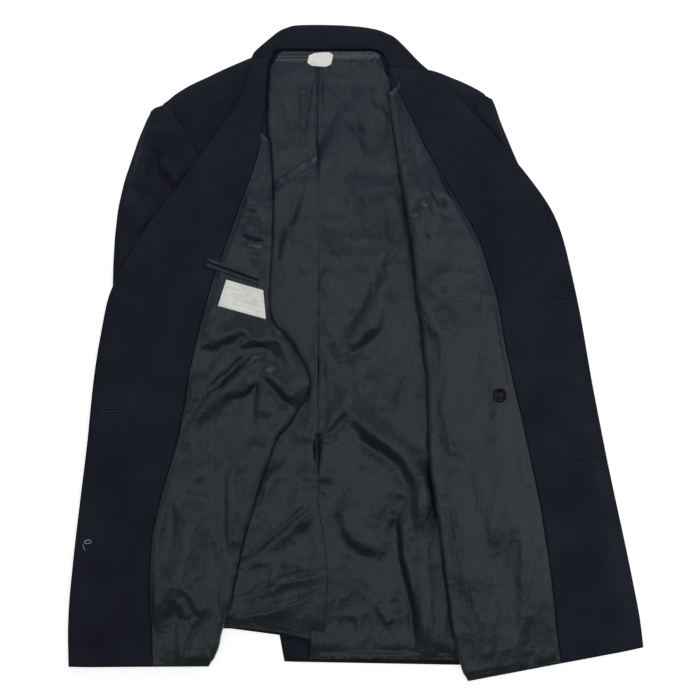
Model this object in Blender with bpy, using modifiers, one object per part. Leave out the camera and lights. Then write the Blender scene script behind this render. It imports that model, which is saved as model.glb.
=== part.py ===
"""Double-breasted military dress tunic, laid open on its back with the lining up.

Each front lies in three thicknesses: from the side fold it runs inwards with the wool up, turns
back on itself, and lies outwards again with its lining and facing up. The lapels are folded under
along their roll lines, and the sleeves lie flat between the two runs of each front.
X is across the tunic, with the wearer's left at +X. Y runs up the back to the collar. Z is up from
the surface that it lies on. The tables are in millimetres, and distances "out" are measured from
the plane X = 0 towards the side that the piece is on.
"""

import math

import bpy
import numpy as np

MM = 0.001

# Cloth walls and the gap between layers
WOOL = 1.6
FACING = 1.2
FRONT_WOOL = 1.3
LINING = 1.0
COLLAR = 2.0
LABEL = 1.0
GAP = 0.35
PATCH_GAP = 0.5

# Heights of the middle of each layer over the surface that the tunic lies on
BACK_WOOL_Z = WOOL / 2
BACK_LINING_Z = WOOL + GAP + LINING / 2
FRONT_RETURN_Z = 3.95
FRONT_WOOL_Z = 5.45
SLEEVE_UNDER_Z = 7.3
SLEEVE_TOP_Z = 9.8
COLLAR_FALL_Z = COLLAR / 2
COLLAR_STAND_Z = 7.2
NECK_SEAM_DROP = 1.2  # how far the collar's stand sinks towards its neck seam

# The back rides over the folded collar, and its right half over the vent's underlap
NECK_LIFT = 2.4
NECK_LIFT_FROM = 300.0
NECK_LIFT_TO = 336.0
VENT_LIFT = 3.4
VENT_TOP = -130.0
VENT_FULL = -150.0
BRIDGE_LIFT = 3.0  # the layers over the back wool bridge its bends
BRIDGE_LIFT_FROM = 280.0
BRIDGE_LIFT_TO = 330.0
UNDERLAP_EDGE_OUT = 98.0
UNDERLAP_CLEAR_OUT = 112.0

SEAM_GAP = 0.4
LINING_RETURN = 34.0  # how far the front lining runs on under the turn-back fold
LINING_RETURN_AT_NECK = 5.0
SLEEVE_TAIL = 12.0  # how far the top sleeve wraps under each edge
SLEEVE_TAIL_SHARE = 0.3  # and at most this share of its width
SLEEVE_STEPS = 3
SIDE_WRAP = 45.0  # how far the side body runs in from the side fold, above and below
LINING_HEM = 4.0  # how far the back lining stops short of the hem
COLLAR_CENTRE = np.array([-20.0, 330.0])
COLLAR_FALL_SHARE = 0.5  # how far the fall reaches from the roll edge to COLLAR_CENTRE

RIGHT, LEFT = -1, 1  # the wearer's sides, as the sign of X
SIDE_NAMES = {RIGHT: "right", LEFT: "left"}

# A front at stations down its edge: where it leaves the armhole or side seam, turns back, meets the
# facing and ends at the roll line or front edge, its height there, and its lapel's width
FRONT_COLUMNS = (
    "y_edge", "y_fold", "y_side", "side", "fold", "seam", "edge", "top", "edge_top", "lapel",
)
FRONT_ROWS = {
    RIGHT: (
        (359.5, 363, 306, 234, 105, 107, 128, 11.8, 11.8, 14),
        (343, 343, 289, 226, 106, 108, 128, 15.0, 15.0, 30),
        (325, 325, 280, 218, 107, 109, 135, 15.0, 15.0, 52),
        (300, 300, 268, 210, 108, 110, 146, 14.8, 14.8, 68),
        (275, 275, 254, 203, 108, 111, 165, 15.6, 15.6, 78),
        (250, 250, 238, 195, 106, 117, 183, 16.8, 16.8, 82),
        (215, 215, 212, 188, 103, 128, 209, 16.8, 16.8, 74),
        (175, 175, 175, 186, 103, 143, 240, 16.8, 16.8, 60),
        (140, 140, 140, 192, 104, 156, 265, 16.8, 16.8, 44),
        (105, 105, 105, 202, 107, 169, 284, 16.8, 16.8, 26),
        (74, 74, 74, 224, 109, 179, 302, 16.8, 16.6, 8),
        (40, 40, 40, 229, 107, 188, 308, 16.4, 15.6, 3),
        (5, 5, 5, 234, 80, 197, 315, 15.6, 14.0, 3),
        (-28, -28, -28, 239, 60, 205, 320, 14.8, 12.4, 3),
        (-62, -62, -62, 243, 66, 209, 324, 14.6, 10.6, 3),
        (-105, -105, -105, 249, 101, 217, 328, 14.6, 9.0, 3),
        (-160, -160, -160, 257, 121, 234, 335, 14.6, 8.0, 3),
        (-225, -225, -225, 266, 138, 250, 343, 14.6, 7.4, 3),
        (-300, -300, -300, 276, 154, 253, 351, 14.2, 7.0, 3),
        (-340, -340, -340, 281, 166, 250, 353, 10.4, 6.8, 3),
        (-385, -384, -380, 285, 181, 249, 352, 9.0, 6.6, 3),
    ),
    LEFT: (
        (346, 350.5, 316, 157.5, 38, 40, 93, 11.8, 11.8, 14),
        (330, 332, 306, 154, 40, 44, 105, 15.0, 15.0, 32),
        (300, 302, 290, 147, 44, 60, 136, 15.6, 15.6, 60),
        (275, 277, 270, 139, 47, 73, 161, 16.8, 16.8, 76),
        (250, 252, 248, 131, 51, 84, 182, 16.8, 16.8, 82),
        (215, 216, 214, 122, 56, 106, 211, 16.8, 16.8, 74),
        (175, 175, 175, 120, 64, 130, 240, 16.8, 16.8, 60),
        (140, 140, 140, 126, 69, 150, 253, 16.8, 16.8, 44),
        (105, 105, 105, 137, 73, 161, 261, 16.8, 16.8, 26),
        (74, 74, 74, 157, 76, 171, 268, 16.8, 16.6, 8),
        (40, 40, 40, 160, 80, 177, 275, 16.4, 15.6, 3),
        (5, 5, 5, 164, 84, 183, 281, 15.6, 14.0, 3),
        (-40, -40, -40, 170, 88, 193, 289, 14.8, 12.4, 3),
        (-85, -86, -86, 176, 90, 204, 298, 14.6, 10.0, 3),
        (-135, -139, -138, 183, 93, 215, 308, 14.6, 8.6, 3),
        (-190, -199, -196, 191, 100, 227, 320, 14.6, 7.6, 3),
        (-245, -262, -256, 199, 109, 236, 332, 14.6, 7.2, 3),
        (-290, -318, -308, 207, 116, 242, 341, 13.6, 7.0, 3),
        (-325, -360, -348, 213, 124, 246, 348, 10.4, 6.8, 3),
        (-361, -402, -378, 218, 138, 251, 352, 9.0, 6.6, 3),
    ),
}
LINING_FIRST_ROW = {RIGHT: 4, LEFT: 1}  # the facing alone edges the neck above this row

# A sleeve at stations down it: its inner fold or armhole seam, and its outer fold
SLEEVE_COLUMNS = ("y_in", "inner", "y_out", "outer")
SLEEVE_ROWS = {
    RIGHT: (
        (304, 234.3, 303, 242),
        (288, 226.4, 295, 251),
        (274, 215, 283, 256),
        (256, 205.2, 262, 265),
        (236, 196, 238, 273),
        (204, 188, 212, 282),
        (168, 176, 178, 290),
        (128, 156, 143, 294),
        (88, 138, 108, 296),
        (46, 130, 66, 297),
        (-10, 128, 5, 297),
        (-80, 130, -70, 295),
        (-150, 140, -145, 295),
        (-225, 156, -222, 297),
        (-292, 168, -300, 306),
    ),
    LEFT: (
        (315, 158.4, 313, 164.5),
        (300, 152.6, 302, 170),
        (284, 146, 285, 175),
        (262, 137, 266, 183),
        (238, 128, 244, 192),
        (208, 121, 220, 203),
        (176, 111, 188, 221),
        (138, 100, 148, 240),
        (98, 96, 108, 249),
        (56, 97, 66, 257),
        (0, 103, 15, 266),
        (-70, 107, -55, 272),
        (-140, 110, -130, 277),
        (-215, 119, -208, 281),
        (-292, 134, -296, 284),
    ),
}

# A back half at stations down it: its centre line, a point under the neck's corner, and its outer seam
BACK_COLUMNS = ("y_centre", "y_neck", "y_out", "centre", "neck", "out")
BACK_ROWS = {
    RIGHT: (
        (371, 361, 304.5, 46, 99, 238),
        (352, 344, 286, 46, 99, 229),
        (320, 316, 262, 46, 99, 210),
        (280, 278, 238, 46, 99, 198),
        (230, 229, 200, 46, 99, 190),
        (170, 170, 165, 46, 99, 187),
        (110, 110, 108, 46, 99, 202),
        (66, 66, 66, 46, 99, 225),
        (0, 0, 0, 46, 99, 234),
        (-70, -70, -70, 46, 99, 244),
        (-130, -130, -130, 46, 99, 252),
        (-150, -150, -150, 47, 99, 255),
        (-185, -185, -185, 46, 100, 260),
        (-215, -215, -215, 41, 100, 265),
        (-270, -270, -270, 34, 100, 273),
        (-320, -316, -312, 37, 100, 279),
        (-353, -345, -336, 37, 100, 282),
    ),
    LEFT: (
        (371, 350, 314.5, -46, 37, 161),
        (350, 336, 300, -46, 37, 155),
        (320, 312, 270, -46, 37, 143),
        (280, 278, 238, -46, 37, 131),
        (230, 229, 200, -46, 37, 123),
        (170, 170, 165, -46, 37, 120),
        (110, 110, 108, -46, 37, 137),
        (66, 66, 66, -46, 37, 157),
        (0, 0, 0, -46, 37, 165),
        (-70, -70, -70, -46, 37, 175),
        (-130, -130, -130, -46, 37, 183),
        (-152, -152, -152, -47, 37, 187),
        (-167, -167, -167, -96, 37, 190),
        (-215, -215, -215, -96, 37, 197),
        (-270, -270, -270, -96, 37, 204),
        (-330, -330, -330, -97, 37, 212),
        (-379, -374, -384, -88, 37, 217),
    ),
}
UNDERLAP_LINING_CENTRE = -56.0  # the left lining stops just inside the vent

# The neckline and shoulder seam, from the centre back outwards: the wool of the back, the under run
# of the front, and the top of the back lining
BACK_TOP = {
    RIGHT: (
        (46, 372), (86, 373), (96, 371), (103, 366), (112, 362), (128, 359.5), (149, 350.5),
        (170, 341.5), (192, 331.5), (212, 321.5), (224, 315), (238, 304.5),
    ),
    LEFT: (
        (-46, 372), (6, 373), (22, 373), (32, 371), (37, 362), (41, 352), (60, 345.5), (92, 345),
        (104, 341.5), (129, 331.5), (150, 321.5), (161, 314.5),
    ),
}
FRONT_TOP = {
    RIGHT: (
        (105, 363), (128, 361), (149, 352), (170, 343), (192, 333), (212, 323), (221, 318), (234, 306),
    ),
    LEFT: (
        (38, 347), (88, 346.5), (104, 343), (129, 333), (150, 323), (157.5, 316),
    ),
}
LINING_TOP = {
    RIGHT: ((46, 370), (69, 371), (86, 371), (95, 369), (99, 358), (103, 341), (235, 275)),
    LEFT: ((-56, 370), (-20, 371), (20, 371), (29, 367), (34, 356), (38, 336), (159, 291)),
}
# How much of the top line's bends each station down from it keeps
BACK_BEND_KEPT = (1.0, 0.6, 0.25)
FRONT_BEND_KEPT = (1.0, 0.6, 0.4, 0.2)
LINING_BEND_KEPT = (1.0, 0.35)

# A side body at stations down it: the fold that it goes round between the back and the front
SIDE_COLUMNS = ("y", "fold")
SIDE_ROWS = {
    RIGHT: ((66, 270), (0, 279), (-70, 289), (-150, 300), (-230, 312), (-310, 323), (-362, 329)),
    LEFT: ((66, 202), (0, 210), (-70, 220), (-150, 232), (-230, 244), (-310, 256), (-366, 263)),
}

# The collar at stations round the neck, from the wearer's right: its roll edge and its neck seam
COLLAR_COLUMNS = ("x_roll", "y_roll", "x_neck", "y_neck")
COLLAR_ROWS = (
    (-128, 362, -103, 366),
    (-124, 370, -101, 371),
    (-109, 383, -94, 375),
    (-93, 396, -86, 375),
    (-76, 402, -69, 374),
    (-50, 402, -48, 373),
    (-20, 401, -22, 373),
    (8, 400, 6, 374),
    (29, 396, 22, 375),
    (47, 388, 32, 373),
    (62, 372, 37, 364),
    (76, 358, 40, 357),
    (88, 348, 41, 352),
)

# The largest soft folds of the back lining: a ridge from one end to the other
RIDGE_COLUMNS = ("x0", "y0", "x1", "y1", "width", "height")
RIDGE_ROWS = (
    (79, -150, 87, -370, 14, 7.0),
    (0, -75, 68, -190, 16, 4.5),
    (22, -20, -34, -92, 14, 3.5),
    (40, 120, -6, 20, 16, 3.5),
    (-24, 240, -84, 180, 14, 3.0),
    (-120, -210, -60, -182, 12, 3.0),
)

# The name label's corners and the neck label's corners, clockwise from the upper outer one
NAME_LABEL = ((158, 90), (113, 77), (111, 42), (168, 58))
NECK_LABEL = ((-57, 368), (-27, 369), (-31, 350), (-60, 352))

# The two jets of the inside breast pocket: outer end and inner end
POCKET_JETS = {
    "pocket_jet_upper": ((182, 114), (117, 91)),
    "pocket_jet_lower": ((183, 108.5), (118, 85.5)),
}
JET_WIDTH = 4.6
JET_THICK = 1.4

BUTTON_PLACE = (175.0, -51.0)
BUTTON_RADIUS = 8.8
BUTTON_RIM = 1.9
BUTTON_THICK = 3.2
BUTTON_DISH = 1.1
BUTTON_RIM_SLOPE = 0.8
BUTTON_RIM_DROP = 0.2
BUTTON_BEVEL = 1.0
BUTTON_TURN_STEPS = 20
BUTTON_HOLES = 4
BUTTON_HOLE_RADIUS = 0.95
BUTTON_HOLE_OUT = 1.9

COLOURS = {
    "wool": (0.012, 0.013, 0.018),
    "lining": (0.030, 0.038, 0.043),
    "label": (0.78, 0.78, 0.72),
    "button": (0.010, 0.010, 0.012),
}
ROUGHNESS = {"wool": 0.9, "lining": 0.45, "label": 0.8, "button": 0.2}


def rows_of(table, columns):
    """The table's rows as dictionaries by column name."""
    return [dict(zip(columns, row)) for row in table]


def smooth_step(low, high, value):
    share = np.clip((value - low) / (high - low), 0.0, 1.0)
    return share * share * (3 - 2 * share)


def material_named(name):
    material = bpy.data.materials.get(name)
    if material is None:
        material = bpy.data.materials.new(name)
        material.use_nodes = True
        shader = material.node_tree.nodes["Principled BSDF"]
        shader.inputs["Base Color"].default_value = (*COLOURS[name], 1.0)
        shader.inputs["Roughness"].default_value = ROUGHNESS[name]
        shader.inputs["Metallic"].default_value = 0.0
    return material


def add_object(name, mesh, material_name, collection):
    piece = bpy.data.objects.new(name, mesh)
    mesh.materials.append(material_named(material_name))
    mesh.shade_smooth()
    collection.objects.link(piece)
    return piece


def add_wall(name, grid, thickness, material_name, collection):
    """A cloth wall on a grid of points (rows, columns, 3) in millimetres, thickened both ways."""
    count, across = grid.shape[:2]
    points = (grid.reshape(-1, 3) * MM).tolist()
    faces = [
        (i * across + j, i * across + j + 1, (i + 1) * across + j + 1, (i + 1) * across + j)
        for i in range(count - 1)
        for j in range(across - 1)
    ]
    mesh = bpy.data.meshes.new(name)
    mesh.from_pydata(points, [], faces)
    mesh.update()
    piece = add_object(name, mesh, material_name, collection)
    wall = piece.modifiers.new("Wall", "SOLIDIFY")
    wall.thickness = thickness * MM
    wall.offset = 0.0
    wall.use_even_offset = True
    return piece


def half_turn(apex, low, high, steps, rising):
    """Distances out and heights round a fold whose outermost point is at `apex`, the fold opening
    outwards. It runs from low to high if rising, else from high to low."""
    radius = (high - low) / 2
    turns = [math.pi * step / steps for step in range(1, steps)]
    points = [
        (apex + radius - radius * math.sin(turn), (low + high) / 2 - radius * math.cos(turn))
        for turn in turns
    ]
    return points if rising else points[::-1]


def roll_turn(apex, low, high, steps):
    """The same round an edge that closes outwards, from high to low."""
    radius = (high - low) / 2
    turns = [math.pi * step / steps for step in range(1, steps)]
    return [
        (apex - radius + radius * math.sin(turn), (low + high) / 2 + radius * math.cos(turn))
        for turn in turns
    ]


def front_height(row, out):
    """Height of the front's top run, which falls to its edge over the last part of the facing."""
    start = row["edge"] - FALL_OVER * (row["edge"] - row["seam"])
    return row["top"] + (row["edge_top"] - row["top"]) * smooth_step(start, row["edge"], out)


def front_station_y(row, out):
    """Y along the top run, between the turn-back fold and the edge."""
    share = np.clip((out - row["fold"]) / (row["edge"] - row["fold"]), 0.0, 1.0)
    return row["y_fold"] + share * (row["y_edge"] - row["y_fold"])


def top_run(row, drop, start, end, steps):
    """Points of the front's top run from start to end, `drop` under the facing's own level."""
    outs = np.linspace(start, end, steps + 1)
    return [(out, front_height(row, out) - drop) for out in outs]


def shoulder_height(y):
    """How far the neck lift raises what lies on the back."""
    return NECK_LIFT * smooth_step(NECK_LIFT_FROM, NECK_LIFT_TO, y)


def bridge_height(y):
    return BRIDGE_LIFT * smooth_step(BRIDGE_LIFT_FROM, BRIDGE_LIFT_TO, y)


def bend(line, kept, index, out, straight):
    """How far a station's Y at `out` departs from its straight run, towards the bends of a top line.
    `straight` is the Y there of the first station's straight run."""
    share = kept[index] if index < len(kept) else 0.0
    outs, ys = zip(*line)
    return share * (np.interp(out, outs, ys) - straight)


def placed(side, path, ys):
    return [(side * out, y, z) for (out, z), y in zip(path, ys)]


SHOULDER_SEAM_Z = WOOL + GAP + FRONT_WOOL / 2
FOLD_SLACK = 1.0  # the wool stands off the lining inside the turn-back fold
ROLL_INSET = 2.4  # the wool's edge inside the facing's
LINING_LEAST = 1.5  # the narrowest strip of front lining past the turn-back fold
LAPEL_TURN = 3.4
LAPEL_CLEAR = 4.0
WOOL_DROP = FACING / 2 + GAP + FRONT_WOOL / 2
LAPEL_WOOL_DROP = WOOL_DROP + FRONT_WOOL + GAP
LAPEL_FACING_DROP = LAPEL_WOOL_DROP + WOOL_DROP
FOLD_STEPS = 4  # points round the turn-back fold, less one, and so on for each run
ROLL_STEPS = 3
UNDER_STEPS = 8
LINED_STEPS = 2
FACED_STEPS = 4
FALL_OVER = 0.3  # the share of the facing over which it falls to its edge


def seam_out(side, y):
    """Distance out of the side body's seam with the back or front."""
    rows = rows_of(SIDE_ROWS[side], SIDE_COLUMNS)
    fold = np.interp(-y, [-row["y"] for row in rows], [row["fold"] for row in rows])
    return fold - SIDE_WRAP - SEAM_GAP


def fold_centre(row):
    """Distance out of the middle of the turn-back fold that the lining and the wool go round."""
    low = FRONT_RETURN_Z + bridge_height(row["y_fold"])
    return row["fold"] + (row["top"] - low) / 2


def lining_end(row):
    return max(row["seam"], fold_centre(row) + LINING_LEAST)


def lapel_inner(row):
    """Distance out of the hidden edge of the lapel, which stops short of the turn-back fold."""
    return max(row["edge"] - LAPEL_TURN - row["lapel"], fold_centre(row) + LAPEL_CLEAR)


def front_wool_rows(side):
    """The front from the armhole or side seam, round the turn-back fold and under the lapel."""
    grid = []
    rows = rows_of(FRONT_ROWS[side], FRONT_COLUMNS)
    shares = np.linspace(0.0, 1.0, UNDER_STEPS + 1)
    first = rows[0]
    for index, row in enumerate(rows):
        start = fold_centre(row) + FOLD_SLACK
        outer = min(row["side"], seam_out(side, row["y_side"]))
        under_out = outer + (start - outer) * shares
        under_y = row["y_side"] + (row["y_fold"] - row["y_side"]) * shares
        straight = np.interp(
            under_out, (first["fold"], first["side"]), (first["y_fold"], first["y_side"])
        )
        under_y = under_y + bend(FRONT_TOP[side], FRONT_BEND_KEPT, index, under_out, straight)
        low = SHOULDER_SEAM_Z + shoulder_height(under_y)
        if index > 0:
            low = FRONT_WOOL_Z + bridge_height(under_y)
        under = list(zip(under_out, low))
        high = row["top"] - WOOL_DROP
        low_in = low[-1]
        apex = start - (high - low_in) / 2
        fold = half_turn(apex, low_in, high, FOLD_STEPS, True)
        seam = lining_end(row)
        edge = row["edge"] - ROLL_INSET
        end = row["edge_top"] - WOOL_DROP
        lapel_end = row["edge_top"] - LAPEL_WOOL_DROP
        roll_radius = (end - lapel_end) / 2
        over = top_run(row, WOOL_DROP, start, seam, LINED_STEPS)
        over += top_run(row, WOOL_DROP, seam, edge - roll_radius, FACED_STEPS)[1:]
        roll = roll_turn(edge, lapel_end, end, ROLL_STEPS)
        lapel = [(edge - roll_radius, lapel_end), (lapel_inner(row), lapel_end)]
        path = under + fold + over + roll + lapel
        top_y = [front_station_y(row, out) for out, _ in path[len(under) + len(fold):]]
        ys = list(under_y) + [row["y_fold"]] * len(fold) + top_y
        grid.append(placed(side, path, ys))
    return np.array(grid)


def facing_rows(side):
    """The facing from its seam with the lining to the edge, and round under the lapel."""
    grid = []
    for index, row in enumerate(rows_of(FRONT_ROWS[side], FRONT_COLUMNS)):
        low = row["edge_top"] - LAPEL_FACING_DROP
        radius = (row["edge_top"] - low) / 2
        lined = index >= LINING_FIRST_ROW[side]
        seam = lining_end(row) if lined else row["seam"]
        over = top_run(row, 0.0, seam + SEAM_GAP, row["edge"] - radius, FACED_STEPS)
        roll = roll_turn(row["edge"], low, row["edge_top"], ROLL_STEPS)
        path = over + roll + [(row["edge"] - radius, low), (lapel_inner(row), low)]
        grid.append(placed(side, path, [front_station_y(row, out) for out, _ in path]))
    return np.array(grid)


def front_lining_rows(side):
    """The front lining from under the mid run, round the turn-back fold and out to the facing."""
    grid = []
    for index, row in enumerate(rows_of(FRONT_ROWS[side], FRONT_COLUMNS)[LINING_FIRST_ROW[side]:]):
        low = FRONT_RETURN_Z + bridge_height(row["y_fold"])
        start = fold_centre(row)
        end = lining_end(row)
        under_width = LINING_RETURN if index else LINING_RETURN_AT_NECK
        under = [(start + under_width, low), (start, low)]
        fold = half_turn(row["fold"], low, row["top"], FOLD_STEPS, True)
        over = top_run(row, 0.0, start, end, LINED_STEPS)
        path = under + fold + over
        grid.append(placed(side, path, [front_station_y(row, out) for out, _ in path]))
    return np.array(grid)


def sleeve_top_rows(side):
    """The top sleeve, wrapped a little under itself at both folds."""
    grid = []
    radius = (SLEEVE_TOP_Z - SLEEVE_UNDER_Z) / 2
    for row in rows_of(SLEEVE_ROWS[side], SLEEVE_COLUMNS):
        width = row["outer"] - row["inner"]
        tail = min(SLEEVE_TAIL, SLEEVE_TAIL_SHARE * width)
        first, last = row["inner"] + radius, row["outer"] - radius
        path = [(first + tail, SLEEVE_UNDER_Z), (first, SLEEVE_UNDER_Z)]
        path += half_turn(row["inner"], SLEEVE_UNDER_Z, SLEEVE_TOP_Z, ROLL_STEPS, True)
        path += [(out, SLEEVE_TOP_Z) for out in np.linspace(first, last, SLEEVE_STEPS + 1)]
        path += roll_turn(row["outer"], SLEEVE_UNDER_Z, SLEEVE_TOP_Z, ROLL_STEPS)
        path += [(last, SLEEVE_UNDER_Z), (last - tail, SLEEVE_UNDER_Z)]
        slope = (row["y_out"] - row["y_in"]) / width
        grid.append(placed(side, path, [row["y_in"] + slope * (out - row["inner"]) for out, _ in path]))
    return np.array(grid)


def sleeve_under_rows(side):
    """The under sleeve, between the top sleeve's wrapped edges."""
    grid = []
    radius = (SLEEVE_TOP_Z - SLEEVE_UNDER_Z) / 2
    for row in rows_of(SLEEVE_ROWS[side], SLEEVE_COLUMNS):
        width = row["outer"] - row["inner"]
        inset = radius + min(SLEEVE_TAIL, SLEEVE_TAIL_SHARE * width) + SEAM_GAP
        outs = np.linspace(row["inner"] + inset, row["outer"] - inset, 3)
        slope = (row["y_out"] - row["y_in"]) / width
        ys = [row["y_in"] + slope * (out - row["inner"]) for out in outs]
        grid.append([(side * out, y, SLEEVE_UNDER_Z) for out, y in zip(outs, ys)])
    return np.array(grid)


def side_body_rows(side):
    """The side body, from the back's seam round the side fold to the front's seam."""
    low, high = BACK_WOOL_Z, FRONT_WOOL_Z
    radius = (high - low) / 2
    grid = []
    for row in rows_of(SIDE_ROWS[side], SIDE_COLUMNS):
        inner = row["fold"] - SIDE_WRAP + SEAM_GAP
        turn = roll_turn(row["fold"], low, high, ROLL_STEPS)
        path = [(inner, low), (row["fold"] - radius, low)] + turn[::-1]
        path += [(row["fold"] - radius, high), (inner, high)]
        grid.append(placed(side, path, [row["y"]] * len(path)))
    return np.array(grid)


def back_lift(side, out, y):
    """How far the back rides up over the collar's fall and, on the right half, the underlap."""
    lift = shoulder_height(y)
    if side == RIGHT:
        over_underlap = 1 - smooth_step(UNDERLAP_EDGE_OUT, UNDERLAP_CLEAR_OUT, out)
        below_vent = 1 - smooth_step(VENT_FULL, VENT_TOP, y)
        lift = lift + VENT_LIFT * over_underlap * below_vent
    return lift


# Places across a back half: 0 at the centre, 1 under the neck's corner, 2 at the outer seam
BACK_SHARES = (0.0, 0.25, 0.5, 0.75, 0.9, 1.0, 1.12, 1.3, 1.45, 1.7, 1.88, 2.0)
LINING_SHARES = {
    RIGHT: (0.0, 0.25, 0.5, 0.75, 0.9, 1.0, 1.12, 1.45, 1.93),
    LEFT: (0.0, 0.25, 0.5, 0.75, 0.9, 1.0, 1.12, 1.2, 1.28, 1.36, 1.65, 1.93),
}
# How far the lining's first two stations lie below the wool's
LINING_INSETS = (
    {"y_centre": 2.0, "y_neck": 20.0, "y_out": 27.0},
    {"y_neck": 12.0, "y_out": 20.0},
)


def back_point(row, share):
    """Distance out and Y across a back half: 0 at the centre, 1 under the neck's corner, 2 outside."""
    if share <= 1:
        out = row["centre"] + share * (row["neck"] - row["centre"])
        return out, row["y_centre"] + share * (row["y_neck"] - row["y_centre"])
    out = row["neck"] + (share - 1) * (row["out"] - row["neck"])
    return out, row["y_neck"] + (share - 1) * (row["y_out"] - row["y_neck"])


def back_wool_rows(side):
    rows = rows_of(BACK_ROWS[side], BACK_COLUMNS)
    grid = []
    for index, row in enumerate(rows):
        line = []
        for share in BACK_SHARES:
            out, y = back_point(row, share)
            if share == BACK_SHARES[-1]:
                out = min(out, seam_out(side, y))
            y += bend(BACK_TOP[side], BACK_BEND_KEPT, index, out, back_point(rows[0], share)[1])
            seam = SEAM_GAP / 2 if share == 0.0 else 0.0
            line.append((side * (out + seam), y, BACK_WOOL_Z + back_lift(side, out, y)))
        grid.append(line)
    return np.array(grid)


def ridge_height(x, y):
    """Height that the largest folds add to the back lining."""
    height = 0.0
    for row in rows_of(RIDGE_ROWS, RIDGE_COLUMNS):
        start = np.array([row["x0"], row["y0"]], float)
        along = np.array([row["x1"], row["y1"]], float) - start
        length = np.linalg.norm(along)
        offset = np.array([x, y]) - start
        share = float(offset @ along) / length**2
        aside = abs(float(offset[0] * along[1] - offset[1] * along[0])) / length
        fade = smooth_step(-0.12, 0.12, share) * (1 - smooth_step(0.88, 1.12, share))
        height += row["height"] * fade * (1 - smooth_step(0.0, row["width"], aside))
    return height


def back_lining_rows(side):
    """The back lining, a little short of the wool at the shoulder and hem, with its soft folds."""
    shares = LINING_SHARES[side]
    rows = rows_of(BACK_ROWS[side], BACK_COLUMNS)
    for row, insets in zip(rows, LINING_INSETS):
        for name, inset in insets.items():
            row[name] -= inset
    for name in ("y_centre", "y_neck", "y_out"):
        rows[-1][name] += LINING_HEM
    grid = []
    for index, row in enumerate(rows):
        if side == LEFT:
            row["centre"] = max(row["centre"], UNDERLAP_LINING_CENTRE)
        line = []
        for share in shares:
            out, y = back_point(row, share)
            y += bend(LINING_TOP[side], LINING_BEND_KEPT, index, out, back_point(rows[0], share)[1])
            edge = SEAM_GAP / 2 if share == 0.0 else 0.0
            if side == RIGHT and share == 0.0 and y < VENT_FULL:
                edge = LINING_HEM
            z = BACK_LINING_Z + back_lift(side, out, y) - shoulder_height(y) + bridge_height(y)
            if share not in (shares[0], shares[-1]):
                z += ridge_height(side * out, y)
            line.append((side * (out + edge), y, z))
        grid.append(line)
    return np.array(grid)


def collar_rows():
    """The collar from its neck seam up the stand, over the roll edge and down the fall beneath."""
    radius = (COLLAR_STAND_Z - COLLAR_FALL_Z) / 2
    grid = []
    for row in rows_of(COLLAR_ROWS, COLLAR_COLUMNS):
        roll = np.array([row["x_roll"], row["y_roll"]], float)
        neck = np.array([row["x_neck"], row["y_neck"]], float)
        inward = (neck - roll) / np.linalg.norm(neck - roll)
        top = roll + inward * radius
        fall_end = roll + COLLAR_FALL_SHARE * (COLLAR_CENTRE - roll)
        line = [
            (*neck, COLLAR_STAND_Z - NECK_SEAM_DROP),
            (*(neck + top) / 2, COLLAR_STAND_Z - NECK_SEAM_DROP / 6),
            (*top, COLLAR_STAND_Z),
        ]
        for step in range(1, FOLD_STEPS):
            turn = math.pi * step / FOLD_STEPS
            place = top - inward * radius * math.sin(turn)
            line.append((*place, COLLAR_FALL_Z + radius + radius * math.cos(turn)))
        line.append((*top, COLLAR_FALL_Z))
        line.append((*(top + fall_end) / 2, COLLAR_FALL_Z))
        line.append((*fall_end, COLLAR_FALL_Z))
        grid.append(line)
    return np.array(grid)


def front_surface(side, out, y):
    """Height of the top of the front lining at a place on the top run, its turn-back fold included."""
    rows = rows_of(FRONT_ROWS[side], FRONT_COLUMNS)
    ys = [-row["y_fold"] for row in rows]
    fold = np.interp(-y, ys, [row["fold"] for row in rows])
    top = np.interp(-y, ys, [front_height(row, out) for row in rows])
    radius = (top - FRONT_RETURN_Z) / 2
    inside = max(fold + radius - out, 0.0)
    return top - radius + math.sqrt(max(radius**2 - inside**2, 0.0)) + LINING / 2


def front_patch(side, corners, across, down, thickness):
    """A patch laid on the front's lining between four corners, clockwise from the upper outer one."""
    upper_out, upper_in, lower_in, lower_out = [np.array(corner, float) for corner in corners]
    grid = []
    for v in np.linspace(0, 1, down + 1):
        left, right = upper_out + v * (lower_out - upper_out), upper_in + v * (lower_in - upper_in)
        line = []
        for u in np.linspace(0, 1, across + 1):
            out, y = left + u * (right - left)
            line.append((side * out, y, front_surface(side, out, y) + PATCH_GAP + thickness / 2))
        grid.append(line)
    return np.array(grid)


def build_fronts(side, collection):
    name = SIDE_NAMES[side]
    add_wall(f"front_{name}", front_wool_rows(side), FRONT_WOOL, "wool", collection)
    add_wall(f"facing_{name}", facing_rows(side), FACING, "wool", collection)
    add_wall(f"front_lining_{name}", front_lining_rows(side), LINING, "lining", collection)


def build_sleeves(side, collection):
    name = SIDE_NAMES[side]
    add_wall(f"sleeve_top_{name}", sleeve_top_rows(side), WOOL, "wool", collection)
    add_wall(f"sleeve_under_{name}", sleeve_under_rows(side), WOOL, "wool", collection)


def build_backs(side, collection):
    name = SIDE_NAMES[side]
    add_wall(f"back_{name}", back_wool_rows(side), WOOL, "wool", collection)
    add_wall(f"side_body_{name}", side_body_rows(side), WOOL, "wool", collection)
    add_wall(f"back_lining_{name}", back_lining_rows(side), LINING, "lining", collection)


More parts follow.
